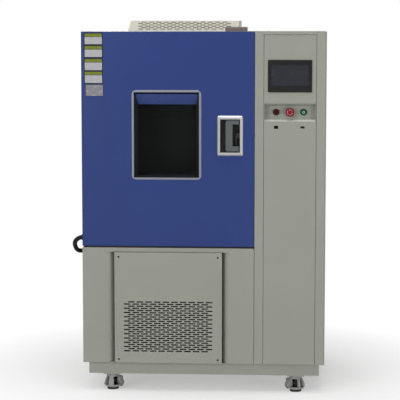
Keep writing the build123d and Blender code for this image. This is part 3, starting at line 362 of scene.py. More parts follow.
def display_glass():
    """The dark, satin glass of the touch screen."""
    material, tree, shader, coordinates = start_material("touch_screen_glass")
    smear = noise(tree, coordinates, 30.0, 5.0, 0.6)
    tree.links.new(spread(tree, smear, 0.35, 0.7, 0.16, 0.3), shader.inputs["Roughness"])
    patch = spread(tree, smear, 0.3, 0.7)
    tone = blend_colour(tree, patch, (0.019, 0.02, 0.025, 1.0), (0.024, 0.025, 0.031, 1.0))
    tree.links.new(tone, shader.inputs["Base Color"])
    shader.inputs["Specular IOR Level"].default_value = 0.2
    return material


PAINTS = {
    "cabinet_paint": painted("cabinet_grey_paint", (0.29, 0.295, 0.255), 0.92, dust=0.3),
    "hood_paint": painted("roof_hood_cream_paint", (0.79, 0.77, 0.69), 0.95, dust=0.04),
    "door_paint": painted("door_blue_paint", (0.02, 0.042, 0.175), 0.86, (0.3, 0.42), dust=0.0),
    "lamp_hood_paint": painted("lamp_hood_blue_paint", (0.03, 0.055, 0.2), 0.88, (0.25, 0.36), dust=0.0),
    "stainless": brushed("brushed_stainless", (0.42, 0.42, 0.41), (900.0, 900.0, 4.0), (0.32, 0.46)),
    "foam": moulded("insulation_foam", (0.62, 0.5, 0.24), 1.15, (0.8, 0.95), 300.0, bump=0.5),
    "window_trim": brushed("anodised_window_trim", (0.24, 0.255, 0.29), (700.0, 700.0, 5.0), (0.34, 0.5)),
    "handle_metal": brushed("satin_handle_frame", (0.5, 0.505, 0.52), (5.0, 900.0, 900.0), (0.28, 0.42)),
    "grip_paint": painted("grip_grey_paint", (0.095, 0.108, 0.115), 0.9, (0.35, 0.45), 1200.0, 0.0),
    "hinge_paint": painted("hinge_grey_paint", (0.5, 0.52, 0.5), 0.9, dust=0.0),
    "latch_steel": brushed("latch_steel", (0.3, 0.3, 0.3), (5.0, 900.0, 900.0), (0.4, 0.55)),
    "glass": shade_darkened_glass(),
    "seal": moulded("silicone_seal", (0.2, 0.2, 0.2), 1.1, (0.55, 0.7), 900.0),
    "dark_plastic": moulded("dark_moulded_plastic", (0.012, 0.012, 0.013), 2.2, (0.4, 0.6)),
    "screen_case": moulded("screen_bezel_plastic", (0.0085, 0.0085, 0.009), 1.6, (0.3, 0.42), 1600.0),
    "screen_glass": display_glass(),
    "lamp_red": lens("alarm_lens_dark_red", (0.045, 0.002, 0.003), 0.0),
    "stop_red": moulded("stop_button_red", (0.17, 0.0045, 0.011), 1.1, (0.24, 0.36), 1200.0),
    # painted light: the green start lens glows a little though no lamp behind it is lit
    "start_green": lens("start_lens_green", (0.01, 0.11, 0.046), 0.08),
    "conduit": moulded("conduit_black_plastic", (0.0035, 0.0035, 0.004), 2.2, (0.5, 0.65), 900.0),
    "machine_black": painted("machine_black_paint", (0.014, 0.014, 0.015), 0.8, (0.3, 0.45), 700.0, 0.5),
    "coil_metal": brushed("coil_aluminium", (0.07, 0.07, 0.068), (900.0, 900.0, 6.0), (0.5, 0.7)),
    "fan_metal": brushed("fan_aluminium", (0.5, 0.5, 0.5), (300.0, 300.0, 300.0), (0.35, 0.5)),
    "electrics": moulded("electrical_unit_plastic", (0.3, 0.3, 0.28), 1.1, (0.45, 0.6)),
    "castor_metal": moulded("castor_cast_metal", (0.29, 0.29, 0.28), 0.7, (0.45, 0.6), 500.0, 0.0, 0.25, 0.3),
    "castor_wheel": moulded("castor_wheel_nylon", (0.016, 0.016, 0.017), 2.0, (0.35, 0.55), 900.0, dust=0.6),
    "castor_pad": moulded("castor_pad_rubber", (0.012, 0.012, 0.012), 2.0, (0.6, 0.8), 700.0, dust=0.6),
    # painted light: a tan sheet behind the hood slots, for the lit inside of the hood
    "hood_light_sheet": moulded("hood_inside_painted_light", (0.2, 0.185, 0.15), 1.5, (0.8, 0.95), 500.0, bump=0.4),
    "plate_edge": moulded("plate_edge_dark_film", (0.006, 0.009, 0.018), 1.6, (0.4, 0.55), 900.0),
    "plate_head": moulded("plate_head_olive_film", (0.14, 0.175, 0.02), 1.6, (0.4, 0.55), 700.0),
    "plate_face": moulded("plate_face_grey_film", (0.37, 0.37, 0.385), 1.2, (0.4, 0.55), 700.0),
    "plate_mottled": moulded("square_plate_grey_film", (0.2, 0.2, 0.22), 2.0, (0.4, 0.55), 250.0),
    "mark_pink": moulded("turn_mark_pink_print", (0.6, 0.3, 0.32), 1.1, (0.4, 0.55), 900.0),
    "mark_green": moulded("start_mark_pale_print", (0.3, 0.62, 0.42), 1.1, (0.4, 0.55), 900.0),
    # painted shade: a near-black finish inside the castor housings
    "castor_painted_shade": moulded("castor_inner_painted_shade", (0.008, 0.008, 0.008), 1.6, (0.6, 0.8), 500.0),
    # painted shade: the roof box's front faces are made darker than its top
    "roof_box_front_shade": moulded("roof_box_front_painted_shade", (0.2, 0.17, 0.155), 1.3, (0.45, 0.6), 900.0),
    # painted shade: the latch tongue in the shaded handle pocket is made near-black all over
    "latch_shade_steel": moulded("latch_tongue_painted_shade", (0.035, 0.034, 0.031), 1.8, (0.4, 0.55), 900.0, 0.4),
    # painted highlight: a pale finish on the button tray's bottom ledge
    "ledge_painted_highlight": moulded("button_tray_painted_highlight", (0.74, 0.73, 0.7), 0.9, (0.35, 0.5), 900.0),
    # painted shade: a dark finish on the walls of the handle pocket
    "recess_dark": moulded("handle_pocket_painted_shade", (0.085, 0.08, 0.068), 1.3, (0.5, 0.65), 900.0),
    # painted shade: a near-black finish on the walls of the window recess
    "window_recess_dark": moulded("window_recess_painted_shade", (0.012, 0.013, 0.018), 1.5, (0.45, 0.6), 900.0),
}
SLOTS = {part["node"]: part["material_slot"] for part in frame["record"]["subparts"]}
BODY_OF = {node: body for body, nodes in frame["record"]["behaviour"]["bodies"].items() for node in nodes}


# CAD nodes: a finish for each, and a dressed copy with eased edges where it shows

def dress_nodes():
    """Every CAD node wears the finish of its slot."""
    for name, item in frame["nodes"].items():
        material = PAINTS[SLOTS[name]]
        if item.material_slots:
            for held in item.material_slots:
                held.material = material
        else:
            item.data.materials.append(material)


SHARP_ANGLE = radians(35.0)


def ease(piece, width):
    """A small round on every sharp edge."""
    bevel = piece.modifiers.new("eased_edges", "BEVEL")
    bevel.width = width
    bevel.segments = 2
    bevel.limit_method = "ANGLE"
    bevel.angle_limit = SHARP_ANGLE
    return bevel


def eased_copy(node, width):
    """A merged copy of a CAD node with small rounded edges and smooth round faces."""
    source = frame["nodes"][node]
    mesh = source.data.copy()
    mesh.name = node + "_eased"
    if mesh.attributes.get("custom_normal"):
        mesh.attributes.remove(mesh.attributes["custom_normal"])
    work = bmesh.new()
    work.from_mesh(mesh)
    bmesh.ops.remove_doubles(work, verts=work.verts, dist=0.00001)
    bmesh.ops.dissolve_limit(
        work, angle_limit=radians(1.0), verts=work.verts, edges=work.edges, delimit={"NORMAL"}
    )
    work.to_mesh(mesh)
    work.free()
    mesh.materials.clear()
    mesh.materials.append(PAINTS[SLOTS[node]])
    copy = bpy.data.objects.new(node + "_eased", mesh)
    bpy.context.scene.collection.objects.link(copy)
    for face in mesh.polygons:
        face.use_smooth = True
    mesh.set_sharp_from_angle(angle=SHARP_ANGLE)
    if width:
        ease(copy, width).harden_normals = True
    if node in OTHER_FACES:
        finish_faces(mesh, *OTHER_FACES[node])
    # painted shade: the inner walls of each castor housing get a near-black finish
    if node.startswith("castor_housing_"):
        finish_faces(mesh, "castor_painted_shade", inside_castor(node.replace("housing", "pad")))
    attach(copy, BODY_OF[node])
    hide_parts(node)


def finish_faces(mesh, finish, chosen):
    """The chosen faces get a second finish."""
    mesh.materials.append(PAINTS[finish])
    for face in mesh.polygons:
        if chosen(face):
            face.material_index = 1


def behind(depth):
    """Faces further back than this depth."""
    return lambda face: face.center.y > place(0, depth, 0).y


def in_front_plane(face):
    return face.center.y < place(0, 1.0, 0).y and face.normal.y < -0.9


def faces_front(face):
    return face.normal.y < -0.9


def every_face(_face):
    return True


LEDGE_HEIGHTS = (0.0005, 0.012)
CASTOR_WALL_REACH = 0.026


def ledge_painted_highlight(face):
    """The slope along the bottom of the button tray, where a pale finish is a painted highlight for the light
    this ledge catches.
    """
    rise = face.center.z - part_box("button_tray")[0][2]
    return face.normal.z > 0.7 and LEDGE_HEIGHTS[0] < rise < LEDGE_HEIGHTS[1]


def inside_castor(pad):
    """The inner walls of a castor's housing, which look towards its pad's axis."""
    low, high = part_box(pad)
    axis = Vector(((low[0] + high[0]) / 2, (low[1] + high[1]) / 2, 0.0))

    def chosen(face):
        outwards = Vector((face.center.x, face.center.y, 0.0)) - axis
        inwards = face.normal.dot(outwards) < 0.0 or face.normal.z < -0.9
        return outwards.length < CASTOR_WALL_REACH and inwards

    return chosen


# A second finish for some faces of a node, and the rounds on its edges in metres
OTHER_FACES = {
    # painted shade in the handle pocket
    "handle_frame": ("recess_dark", behind(1.0)),
    # painted shade on the walls of the window recess
    "window_frame": ("window_recess_dark", behind(0.5)),
    "door_pan": ("door_paint", in_front_plane),
    # painted shade on the front faces of the roof box
    "roof_junction_box": ("roof_box_front_shade", faces_front),
    # painted highlight on the bottom ledge of the button tray
    "button_tray": ("ledge_painted_highlight", ledge_painted_highlight),
    # painted shade on every face of the latch tongue
    "latch_tongue": ("latch_shade_steel", every_face),
}
EASED_EDGES = {
    "base_frame": 0.0012,
    "side_panels": 0.0006,
    "column_posts": 0.0008,
    "column_front_panels": 0.0006,
    "button_tray": 0.0008,
    "roof_and_deck_panels": 0.0006,
    "lower_front_frame": 0.001,
    "grille_panel": 0.0005,
    "rear_panels": 0.0006,
    "side_panel_grip": 0.0006,
    "vent_hood": 0.0006,
    "roof_junction_box": 0.0008,
    "hmi_housing": 0.0008,
    "alarm_lamp": 0.0003,
    "stop_head": 0.0004,
    "start_button": 0.0003,
    "button_bezels": 0.0004,
    "service_sockets": 0.0002,
    "door_skin": 0.0,
    "door_pan": 0.0006,
    "window_frame": 0.0008,
    "lamp_hood": 0.0003,
    "handle_frame": 0.001,
    "handle_grip": 0.0008,
    "latch_tongue": 0.0004,
    "cabinet_hinge_leaves": 0.0005,
    "door_hinge_leaves": 0.0005,
    "door_conduit_gland": 0.0006,
    "cable_glands": 0.0006,
    "door_gasket": 0.002,
}
CASTOR_EDGES = {"castor_housing_": 0.0007, "castor_wheel_": 0.0005, "castor_pad_": 0.0004}
dress_nodes()
for eased_node, eased_width in EASED_EDGES.items():
    eased_copy(eased_node, eased_width)
for castor_corner in CORNERS:
    for castor_piece, eased_width in CASTOR_EDGES.items():
        eased_copy(castor_piece + castor_corner, eased_width)


# Wiring conduit: a corrugated tube along the spline of the route

CONDUIT_POINTS = [
    (-9.0, 35.0, 718.0),
    (-20.0, 35.5, 715.0),
    (-32.0, 43.0, 706.5),
    (-41.5, 57.0, 695.5),
    (-46.8, 76.0, 682.5),
    (-47.4, 98.0, 667.0),
    (-44.8, 120.0, 651.5),
    (-37.0, 140.0, 640.5),
    (-24.0, 153.5, 638.0),
    (-9.0, 156.0, 641.0),
]
CONDUIT_DIAMETER = 0.021
CONDUIT_SIDES = 28
CONDUIT_STEP = 0.0012
RIB_PROFILE = (0.5, 0.487, 0.462, 0.487)


def spline_line(points, resolution):
    """Points along the NURBS spline that has these control points."""
    curve = bpy.data.curves.new("conduit_route", "CURVE")
    curve.dimensions = "3D"
    spline = curve.splines.new("NURBS")
    spline.points.add(len(points) - 1)
    for point, spot in zip(spline.points, points):
        point.co = (*place(*spot), 1.0)
    spline.order_u = 3
    spline.use_endpoint_u = True
    spline.resolution_u = resolution
    carrier = bpy.data.objects.new("conduit_route", curve)
    bpy.context.scene.collection.objects.link(carrier)
    bpy.context.view_layer.update()
    mesh = bpy.data.meshes.new_from_object(carrier)
    line = [vertex.co.copy() for vertex in mesh.vertices]
    bpy.data.objects.remove(carrier)
    return line


def evenly(line, step):
    """The same line with points a fixed step apart."""
    lengths = [0.0]
    for first, second in zip(line, line[1:]):
        lengths.append(lengths[-1] + (second - first).length)
    count = round(lengths[-1] / step)
    result = []
    index = 0
    for number in range(count + 1):
        target = lengths[-1] * number / count
        while index < len(line) - 2 and lengths[index + 1] < target:
            index += 1
        share = (target - lengths[index]) / max(lengths[index + 1] - lengths[index], 1e-9)
        result.append(line[index].lerp(line[index + 1], share))
    return result


def tube_mesh(name, line, radius_at, sides):
    """A closed tube round a line; radius_at gives each ring's radius from its number."""
    work = bmesh.new()
    rings = []
    across = (line[1] - line[0]).orthogonal().normalized()
    for number, spot in enumerate(line):
        ahead = line[min(number + 1, len(line) - 1)] - line[max(number - 1, 0)]
        along = ahead.normalized()
        across = (across - along * across.dot(along)).normalized()
        side = along.cross(across)
        ring = []
        for step in range(sides):
            turn = 2 * pi * step / sides
            offset = (across * cos(turn) + side * sin(turn)) * radius_at(number)
            ring.append(work.verts.new(spot + offset))
        rings.append(ring)
    for first, second in zip(rings, rings[1:]):
        for step in range(sides):
            after = (step + 1) % sides
            work.faces.new((first[step], first[after], second[after], second[step]))
    work.faces.new(list(reversed(rings[0])))
    work.faces.new(rings[-1])
    bmesh.ops.recalc_face_normals(work, faces=work.faces)
    mesh = bpy.data.meshes.new(name)
    work.to_mesh(mesh)
    work.free()
    for face in mesh.polygons:
        face.use_smooth = len(face.vertices) == 4
    return mesh


def rib_radius(number):
    """The conduit's radius at one ring of its tube: a rib every four rings."""
    return CONDUIT_DIAMETER * RIB_PROFILE[number % len(RIB_PROFILE)]


def make_conduit():
    line = evenly(spline_line(CONDUIT_POINTS, 24), CONDUIT_STEP)
    mesh = tube_mesh("wiring_conduit", line, rib_radius, CONDUIT_SIDES)
    mesh.materials.append(PAINTS["conduit"])
    conduit = bpy.data.objects.new("wiring_conduit", mesh)
    bpy.context.scene.collection.objects.link(conduit)
    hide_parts("door_wiring_conduit")
    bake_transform(conduit)


make_conduit()


# Pieces that repeat, grown by Geometry Nodes on a few points

def geometry_tree(name, inputs):
    """An empty geometry tree with named sizes, and its input and output nodes."""
    tree = bpy.data.node_groups.new(name, "GeometryNodeTree")
    tree.interface.new_socket("Geometry", in_out="INPUT", socket_type="NodeSocketGeometry")
    for label, kind, value in inputs:
        socket = tree.interface.new_socket(label, in_out="INPUT", socket_type=kind)
        if value is not None:
            socket.default_value = value
    tree.interface.new_socket("Geometry", in_out="OUTPUT", socket_type="NodeSocketGeometry")
    return tree, tree.nodes.new("NodeGroupInput"), tree.nodes.new("NodeGroupOutput")


def close_tree(tree, start, end, geometry):
    """Realise the copies, give them their material and send them out."""
    real = add_node(tree, "GeometryNodeRealizeInstances", {0: geometry}).outputs[0]
    done = add_node(tree, "GeometryNodeSetMaterial", {
        "Geometry": real, "Material": start.outputs["Material"],
    })
    tree.links.new(done.outputs[0], end.inputs[0])


def vector_of(tree, x, y, z):
    return add_node(tree, "ShaderNodeCombineXYZ", {0: x, 1: y, 2: z}).outputs[0]


def make_screw_tree():
    """A domed screw head with a cross recess on every point."""
    tree, start, end = geometry_tree("screw_heads", [
        ("Head Radius", "NodeSocketFloat", 0.0035),
        ("Head Height", "NodeSocketFloat", 0.0015),
        ("Facing", "NodeSocketVector", (0.0, 0.0, 0.0)),
        ("Turn Step", "NodeSocketFloat", 1.1),
        ("Material", "NodeSocketMaterial", None),
    ])
    radius = start.outputs["Head Radius"]
    height = start.outputs["Head Height"]
    top = arithmetic(tree, "MULTIPLY", radius, 0.72)
    head = add_node(tree, "GeometryNodeMeshCone", {
        "Vertices": 24, "Radius Top": top, "Radius Bottom": radius, "Depth": height,
    })
    arm = arithmetic(tree, "MULTIPLY", radius, 1.05)
    slim = arithmetic(tree, "MULTIPLY", radius, 0.24)
    recesses = []
    for x, y in ((arm, slim), (slim, arm)):
        cube = add_node(tree, "GeometryNodeMeshCube", {"Size": vector_of(tree, x, y, height)})
        moved = add_node(tree, "GeometryNodeTransform", {
            "Geometry": cube.outputs[0],
            "Translation": vector_of(tree, 0.0, 0.0, height),
        })
        recesses.append(moved.outputs[0])
    cut = tree.nodes.new("GeometryNodeMeshBoolean")
    cut.operation = "DIFFERENCE"
    tree.links.new(head.outputs["Mesh"], cut.inputs["Mesh 1"])
    for piece in recesses:
        tree.links.new(piece, cut.inputs["Mesh 2"])
    number = tree.nodes.new("GeometryNodeInputIndex").outputs[0]
    spin = vector_of(tree, 0.0, 0.0, arithmetic(tree, "MULTIPLY", number, start.outputs["Turn Step"]))
    both = {
        0: add_node(tree, "FunctionNodeEulerToRotation", {0: start.outputs["Facing"]}).outputs[0],
        1: add_node(tree, "FunctionNodeEulerToRotation", {0: spin}).outputs[0],
    }
    turned = add_node(tree, "FunctionNodeRotateRotation", both, rotation_space="LOCAL").outputs[0]
    spread_out = add_node(tree, "GeometryNodeInstanceOnPoints", {
        "Points": start.outputs["Geometry"], "Instance": cut.outputs["Mesh"], "Rotation": turned,
    })
    close_tree(tree, start, end, spread_out.outputs[0])
    return tree


def make_rib_tree():
    """Ribs round a dial or nut, in a ring about the point they stand on."""
    tree, start, end = geometry_tree("grip_ribs", [
        ("Ring Radius", "NodeSocketFloat", 0.016),
        ("Rib Height", "NodeSocketFloat", 0.009),
        ("Rib Width", "NodeSocketFloat", 0.002),
        ("Rib Count", "NodeSocketInt", 20),
        ("Facing", "NodeSocketVector", (0.0, 0.0, 0.0)),
        ("Material", "NodeSocketMaterial", None),
    ])
    ring = add_node(tree, "GeometryNodeMeshCircle", {
        "Vertices": start.outputs["Rib Count"], "Radius": start.outputs["Ring Radius"],
    })
    half = arithmetic(tree, "MULTIPLY", start.outputs["Rib Width"], 0.5)
    rib = add_node(tree, "GeometryNodeMeshCylinder", {
        "Vertices": 8, "Radius": half, "Depth": start.outputs["Rib Height"],
    })
    around = add_node(tree, "GeometryNodeInstanceOnPoints", {
        "Points": ring.outputs[0], "Instance": rib.outputs["Mesh"],
    })
    real = add_node(tree, "GeometryNodeRealizeInstances", {0: around.outputs[0]}).outputs[0]
    facing = add_node(tree, "FunctionNodeEulerToRotation", {0: start.outputs["Facing"]}).outputs[0]
    placed = add_node(tree, "GeometryNodeInstanceOnPoints", {
        "Points": start.outputs["Geometry"], "Instance": real, "Rotation": facing,
    })
    close_tree(tree, start, end, placed.outputs[0])
    return tree


def make_louvre_tree():
    """A pressed louvre over every slot: an arched cover, open underneath."""
    tree, start, end = geometry_tree("pressed_louvres", [
        ("Louvre Width", "NodeSocketFloat", 0.094),
        ("Louvre Reach", "NodeSocketFloat", 0.006),
        ("Louvre Height", "NodeSocketFloat", 0.013),
        ("Metal Thickness", "NodeSocketFloat", 0.0012),
        ("Material", "NodeSocketMaterial", None),
    ])
    reach = start.outputs["Louvre Reach"]
    height = start.outputs["Louvre Height"]
    width = start.outputs["Louvre Width"]
    line = add_node(tree, "GeometryNodeMeshGrid", {
        "Size X": 1.0, "Size Y": 1.0, "Vertices X": 13, "Vertices Y": 9,
    })
    place_in_grid = tree.nodes.new("GeometryNodeInputPosition").outputs[0]
    parts = add_node(tree, "ShaderNodeSeparateXYZ", {0: place_in_grid})
    along = parts.outputs[0]
    down = arithmetic(tree, "ADD", parts.outputs[1], 0.5)
    rise = arithmetic(tree, "COSINE", arithmetic(tree, "MULTIPLY", down, pi / 2))
    edge = arithmetic(tree, "POWER", arithmetic(tree, "MULTIPLY", along, 2.0), 8.0)
    fall = arithmetic(tree, "SUBTRACT", 1.0, edge)
    depth = arithmetic(tree, "MULTIPLY", arithmetic(tree, "MULTIPLY", rise, fall), reach)
    x = arithmetic(tree, "MULTIPLY", along, width)
    z = arithmetic(tree, "MULTIPLY", down, height)
    bent = add_node(tree, "GeometryNodeSetPosition", {
        "Geometry": line.outputs["Mesh"], "Position": vector_of(tree, x, depth, z),
    })
    skin = add_node(tree, "GeometryNodeExtrudeMesh", {
        "Individual": False, "Mesh": bent.outputs[0], "Offset Scale": start.outputs["Metal Thickness"],
    })
    inner = add_node(tree, "GeometryNodeFlipFaces", {0: bent.outputs[0]})
    shell = tree.nodes.new("GeometryNodeJoinGeometry")
    tree.links.new(skin.outputs["Mesh"], shell.inputs[0])
    tree.links.new(inner.outputs[0], shell.inputs[0])
    merged = add_node(tree, "GeometryNodeMergeByDistance", {
        "Geometry": shell.outputs[0], "Distance": 0.00002,
    })
    placed = add_node(tree, "GeometryNodeInstanceOnPoints", {
        "Points": start.outputs["Geometry"], "Instance": merged.outputs[0],
    })
    close_tree(tree, start, end, placed.outputs[0])
    return tree


def make_guard_tree():
    """Wire rings of growing size round each point, for a fan guard."""
    tree, start, end = geometry_tree("wire_rings", [
        ("Ring Count", "NodeSocketInt", 7),
        ("Ring Step", "NodeSocketFloat", 0.012),
        ("Wire Radius", "NodeSocketFloat", 0.0011),
        ("Facing", "NodeSocketVector", (0.0, 0.0, 0.0)),
        ("Material", "NodeSocketMaterial", None),
    ])
    circle = add_node(tree, "GeometryNodeCurvePrimitiveCircle", {"Resolution": 48, "Radius": 1.0})
    line = add_node(tree, "GeometryNodeMeshLine", {
        "Count": start.outputs["Ring Count"], "Offset": (0.0, 0.0, 0.0),
    })
    number = tree.nodes.new("GeometryNodeInputIndex").outputs[0]
    size = arithmetic(tree, "MULTIPLY", arithmetic(tree, "ADD", number, 1.0), start.outputs["Ring Step"])
    grown = add_node(tree, "GeometryNodeInstanceOnPoints", {
        "Points": line.outputs[0], "Instance": circle.outputs[0],
        "Scale": vector_of(tree, size, size, size),
    })
    curves = add_node(tree, "GeometryNodeRealizeInstances", {0: grown.outputs[0]}).outputs[0]
    section = add_node(tree, "GeometryNodeCurvePrimitiveCircle", {
        "Resolution": 8, "Radius": start.outputs["Wire Radius"],
    })
    wires = add_node(tree, "GeometryNodeCurveToMesh", {
        "Curve": curves, "Profile Curve": section.outputs[0],
    })
    facing = add_node(tree, "FunctionNodeEulerToRotation", {0: start.outputs["Facing"]}).outputs[0]
    placed = add_node(tree, "GeometryNodeInstanceOnPoints", {
        "Points": start.outputs["Geometry"], "Instance": wires.outputs[0], "Rotation": facing,
    })
    close_tree(tree, start, end, placed.outputs[0])
    return tree


SCREWS = make_screw_tree()
RIBS = make_rib_tree()
LOUVRES = make_louvre_tree()
WIRE_RINGS = make_guard_tree()
FACING_FRONT = (pi / 2, 0.0, 0.0)
FACING_REAR = (-pi / 2, 0.0, 0.0)
FACING_LEFT = (0.0, -pi / 2, 0.0)
FACING_UP = (0.0, 0.0, 0.0)


def add_piece(name, mesh, body):
    """A piece in the scene that rides on one body."""
    piece = bpy.data.objects.new(name, mesh)
    bpy.context.scene.collection.objects.link(piece)
    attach(piece, body)
    return piece


def grow(name, tree, points, settings, slot, body):
    """A plain mesh of what a geometry tree makes on these points, riding on one body."""
    seeds = bpy.data.meshes.new(name + "_points")
    seeds.from_pydata([tuple(point) for point in points], [], [])
    carrier = bpy.data.objects.new(name + "_points", seeds)
    bpy.context.scene.collection.objects.link(carrier)
    grower = carrier.modifiers.new("grower", "NODES")
    grower.node_group = tree
    values = dict(settings)
    values["Material"] = PAINTS[slot]
    for item in tree.interface.items_tree:
        if item.item_type == "SOCKET" and item.in_out == "INPUT" and item.name in values:
            grower[item.identifier] = values[item.name]
    bpy.context.view_layer.update()
    result = carrier.evaluated_get(bpy.context.evaluated_depsgraph_get())
    mesh = bpy.data.meshes.new_from_object(result)
    mesh.name = name
    bpy.data.objects.remove(carrier)
    return add_piece(name, mesh, body)


# Flat pieces with an outline given in x and z

def rounded_outline(x, z, radius, steps=5):
    """Points round a rectangle with round corners, anticlockwise seen from the front."""
    corners = ((x[1], z[0], -pi / 2), (x[1], z[1], 0.0), (x[0], z[1], pi / 2), (x[0], z[0], pi))
    points = []
    for corner_x, corner_z, start in corners:
        centre_x = corner_x - radius if corner_x == x[1] else corner_x + radius
        centre_z = corner_z - radius if corner_z == z[1] else corner_z + radius
        for step in range(steps + 1):
            turn = start + pi / 2 * step / steps
            points.append((centre_x + radius * cos(turn), centre_z + radius * sin(turn)))
    return points


def round_outline(x, z, radius, sides=40):
    turns = [2 * pi * step / sides for step in range(sides)]
    return [(x + radius * cos(turn), z + radius * sin(turn)) for turn in turns]


def flat_piece(name, outline, d, slot, body, edge=0.0002, hole=None):
    """A flat piece between two depths, with an optional hole whose outline has as many points."""
    work = bmesh.new()
    loops = []
    for line in (outline, hole):
        if line:
            loops.append([[work.verts.new(place(x, depth, z)) for x, z in line] for depth in d])
    for front, back in loops:
        for index in range(len(front)):
            after = (index + 1) % len(front)
            work.faces.new((front[index], front[after], back[after], back[index]))
    for side in (0, 1):
        if hole:
            outer, inner = loops[0][side], loops[1][side]
            for index in range(len(outer)):
                after = (index + 1) % len(outer)
                work.faces.new((outer[index], outer[after], inner[after], inner[index]))
        else:
            work.faces.new(loops[0][side])
    bmesh.ops.recalc_face_normals(work, faces=work.faces)
    mesh = bpy.data.meshes.new(name)
    work.to_mesh(mesh)
    work.free()
    mesh.materials.append(PAINTS[slot])
    ease(add_piece(name, mesh, body), edge)


# Fasteners: how deep a head sits in its face, and the faces that carry heads

HEAD_SEAT = 0.05
GRILLE_FACE = -8.0
LEAF_FACE = -3.0
HOOD_REAR_FACE = 900.0
HINGE_BOTTOMS = (790, 1485)
LEAF_SCREW_RISES = (14, 42, 70)


def spots(xs, ds, zs):
    return [place(x, d, z) for x in xs for d in ds for z in zs]


def screw_size(radius, height, facing):
    return {"Head Radius": radius, "Head Height": height, "Facing": facing}


def add_fasteners():
    grille = spots((168, 627), (GRILLE_FACE + HEAD_SEAT,), (154, 633))
    size = screw_size(0.0045, 0.0016, FACING_FRONT)
    grow("grille_screws", SCREWS, grille, size, "dark_plastic", "cabinet")
    rises = [bottom + rise for bottom in HINGE_BOTTOMS for rise in LEAF_SCREW_RISES]
    size = screw_size(0.0032, 0.0012, FACING_LEFT)
    for name, d, body in (("cabinet_leaf_screws", 103, "cabinet"), ("door_leaf_screws", 45, "door")):
        grow(name, SCREWS, spots((LEAF_FACE + HEAD_SEAT,), (d,), rises), size, "latch_steel", body)
    rear = spots((14, 382, 738, BODY_WIDTH - 14), (BODY_DEPTH - HEAD_SEAT,), (150, 400, 662, 690, 1150, 1654))
    size = screw_size(0.0045, 0.0018, FACING_REAR)
    grow("rear_panel_screws", SCREWS, rear, size, "latch_steel", "cabinet")
    roof = spots((30, 400, 770, 840, BODY_WIDTH - 30), (90, 500, 962), (BODY_TOP - HEAD_SEAT,))
    size = screw_size(0.004, 0.0016, FACING_UP)
    grow("roof_screws", SCREWS, roof, size, "latch_steel", "cabinet")
    hood = spots((185, 427, 685), (HOOD_REAR_FACE - HEAD_SEAT,), (1676,))
    size = screw_size(0.0034, 0.0012, FACING_REAR)
    grow("hood_screws", SCREWS, hood, size, "latch_steel", "cabinet")


def add_hood_painted_light():
    """A tan sheet just behind the slots of the roof hood: painted light, standing in for the lit inside of the
    hood seen through the slots.
    """
    outline = rounded_outline((180, 692), (1671, 1713), 3.0)
    flat_piece("hood_slot_painted_light", outline, (563.0, 565.5), "hood_light_sheet", "cabinet", 0.0004)


LOUVRE_COLUMNS = [215 + 120 * column for column in range(4)]
LOUVRE_ROWS = [248 + 30 * row for row in range(10)]


def add_louvres():
    slots = spots(LOUVRE_COLUMNS, (BODY_DEPTH + 0.2,), LOUVRE_ROWS)
    grow("rear_louvres", LOUVRES, slots, {}, "cabinet_paint", "cabinet")


# Thin plates on the door, without words: a dark film with a coloured head and a grey face on it

PLATE_HEIGHTS = ((1609.5, 1659.5), (1551.5, 1602.5), (1491.5, 1543.5), (1433.0, 1485.5))
PLATE_SIDES = (16.5, 97.0)
HEAD_HEIGHT = 15.0
FILM_DEPTHS = (-0.5, -0.02)
PRINT_DEPTHS = (-0.8, -0.45)


def add_door_plates():
    left, right = PLATE_SIDES
    for number, (low, high) in enumerate(PLATE_HEIGHTS, 1):
        label = "blank_plate_%d" % number
        film = rounded_outline((left - 3.0, right + 3.5), (low - 3.4, high + 3.4), 3.0)
        flat_piece(label + "_edge", film, FILM_DEPTHS, "plate_edge", "door")
        inner = (left + 0.6, right - 0.6)
        head = rounded_outline(inner, (high - HEAD_HEIGHT, high - 0.8), 2.0)
        flat_piece(label + "_head", head, PRINT_DEPTHS, "plate_head", "door")
        face = rounded_outline(inner, (low + 0.8, high - HEAD_HEIGHT - 1.6), 2.0)
        flat_piece(label + "_face", face, PRINT_DEPTHS, "plate_face", "door")
    film = rounded_outline((19, 102), (1372.5, 1427.5), 2.5)
    flat_piece("square_plate_edge", film, FILM_DEPTHS, "plate_edge", "door")
    face = rounded_outline((21, 100), (1374.5, 1425.5), 1.5)
    flat_piece("square_plate_face", face, PRINT_DEPTHS, "plate_mottled", "door")


# Window trim on the inner side of the door, and a black strip under the door: painted shade filling the shadow
# gap there

TRIM_DEPTHS = (70.05, 73.0)


def add_door_trim():
    outer = rounded_outline((229, 553), (975, 1419), 14.0)
    inner = rounded_outline((251, 531), (997, 1397), 8.0)
    flat_piece("inner_window_trim", outer, TRIM_DEPTHS, "stainless", "door", 0.0008, inner)
    face = TRIM_DEPTHS[1] - HEAD_SEAT
    screws = spots((240, 391, 542), (face,), (986, 1408)) + spots((240, 542), (face,), (1120, 1260))
    size = screw_size(0.0034, 0.0012, FACING_REAR)
    grow("inner_trim_screws", SCREWS, screws, size, "latch_steel", "door")
    # painted shade: a black strip that darkens the shadow gap under the door
    gap_strip_outline = rounded_outline((4, 788), (675.1, 681.8), 1.5)
    flat_piece("shadow_gap_black_strip", gap_strip_outline, (4, 36), "dark_plastic", "cabinet", 0.0006)


# Dials and guards

DIAL_HEIGHT = 0.040
DIAL_RIBS = {
    "Ring Radius": 0.0158, "Rib Height": 0.0085, "Rib Width": 0.0021, "Rib Count": 22, "Facing": FACING_UP,
}
GUARD_RINGS = {"Ring Count": 8, "Ring Step": 0.0135, "Wire Radius": 0.0012, "Facing": FACING_FRONT}
GUARD_CENTRE = (396.5, 574, 1400)


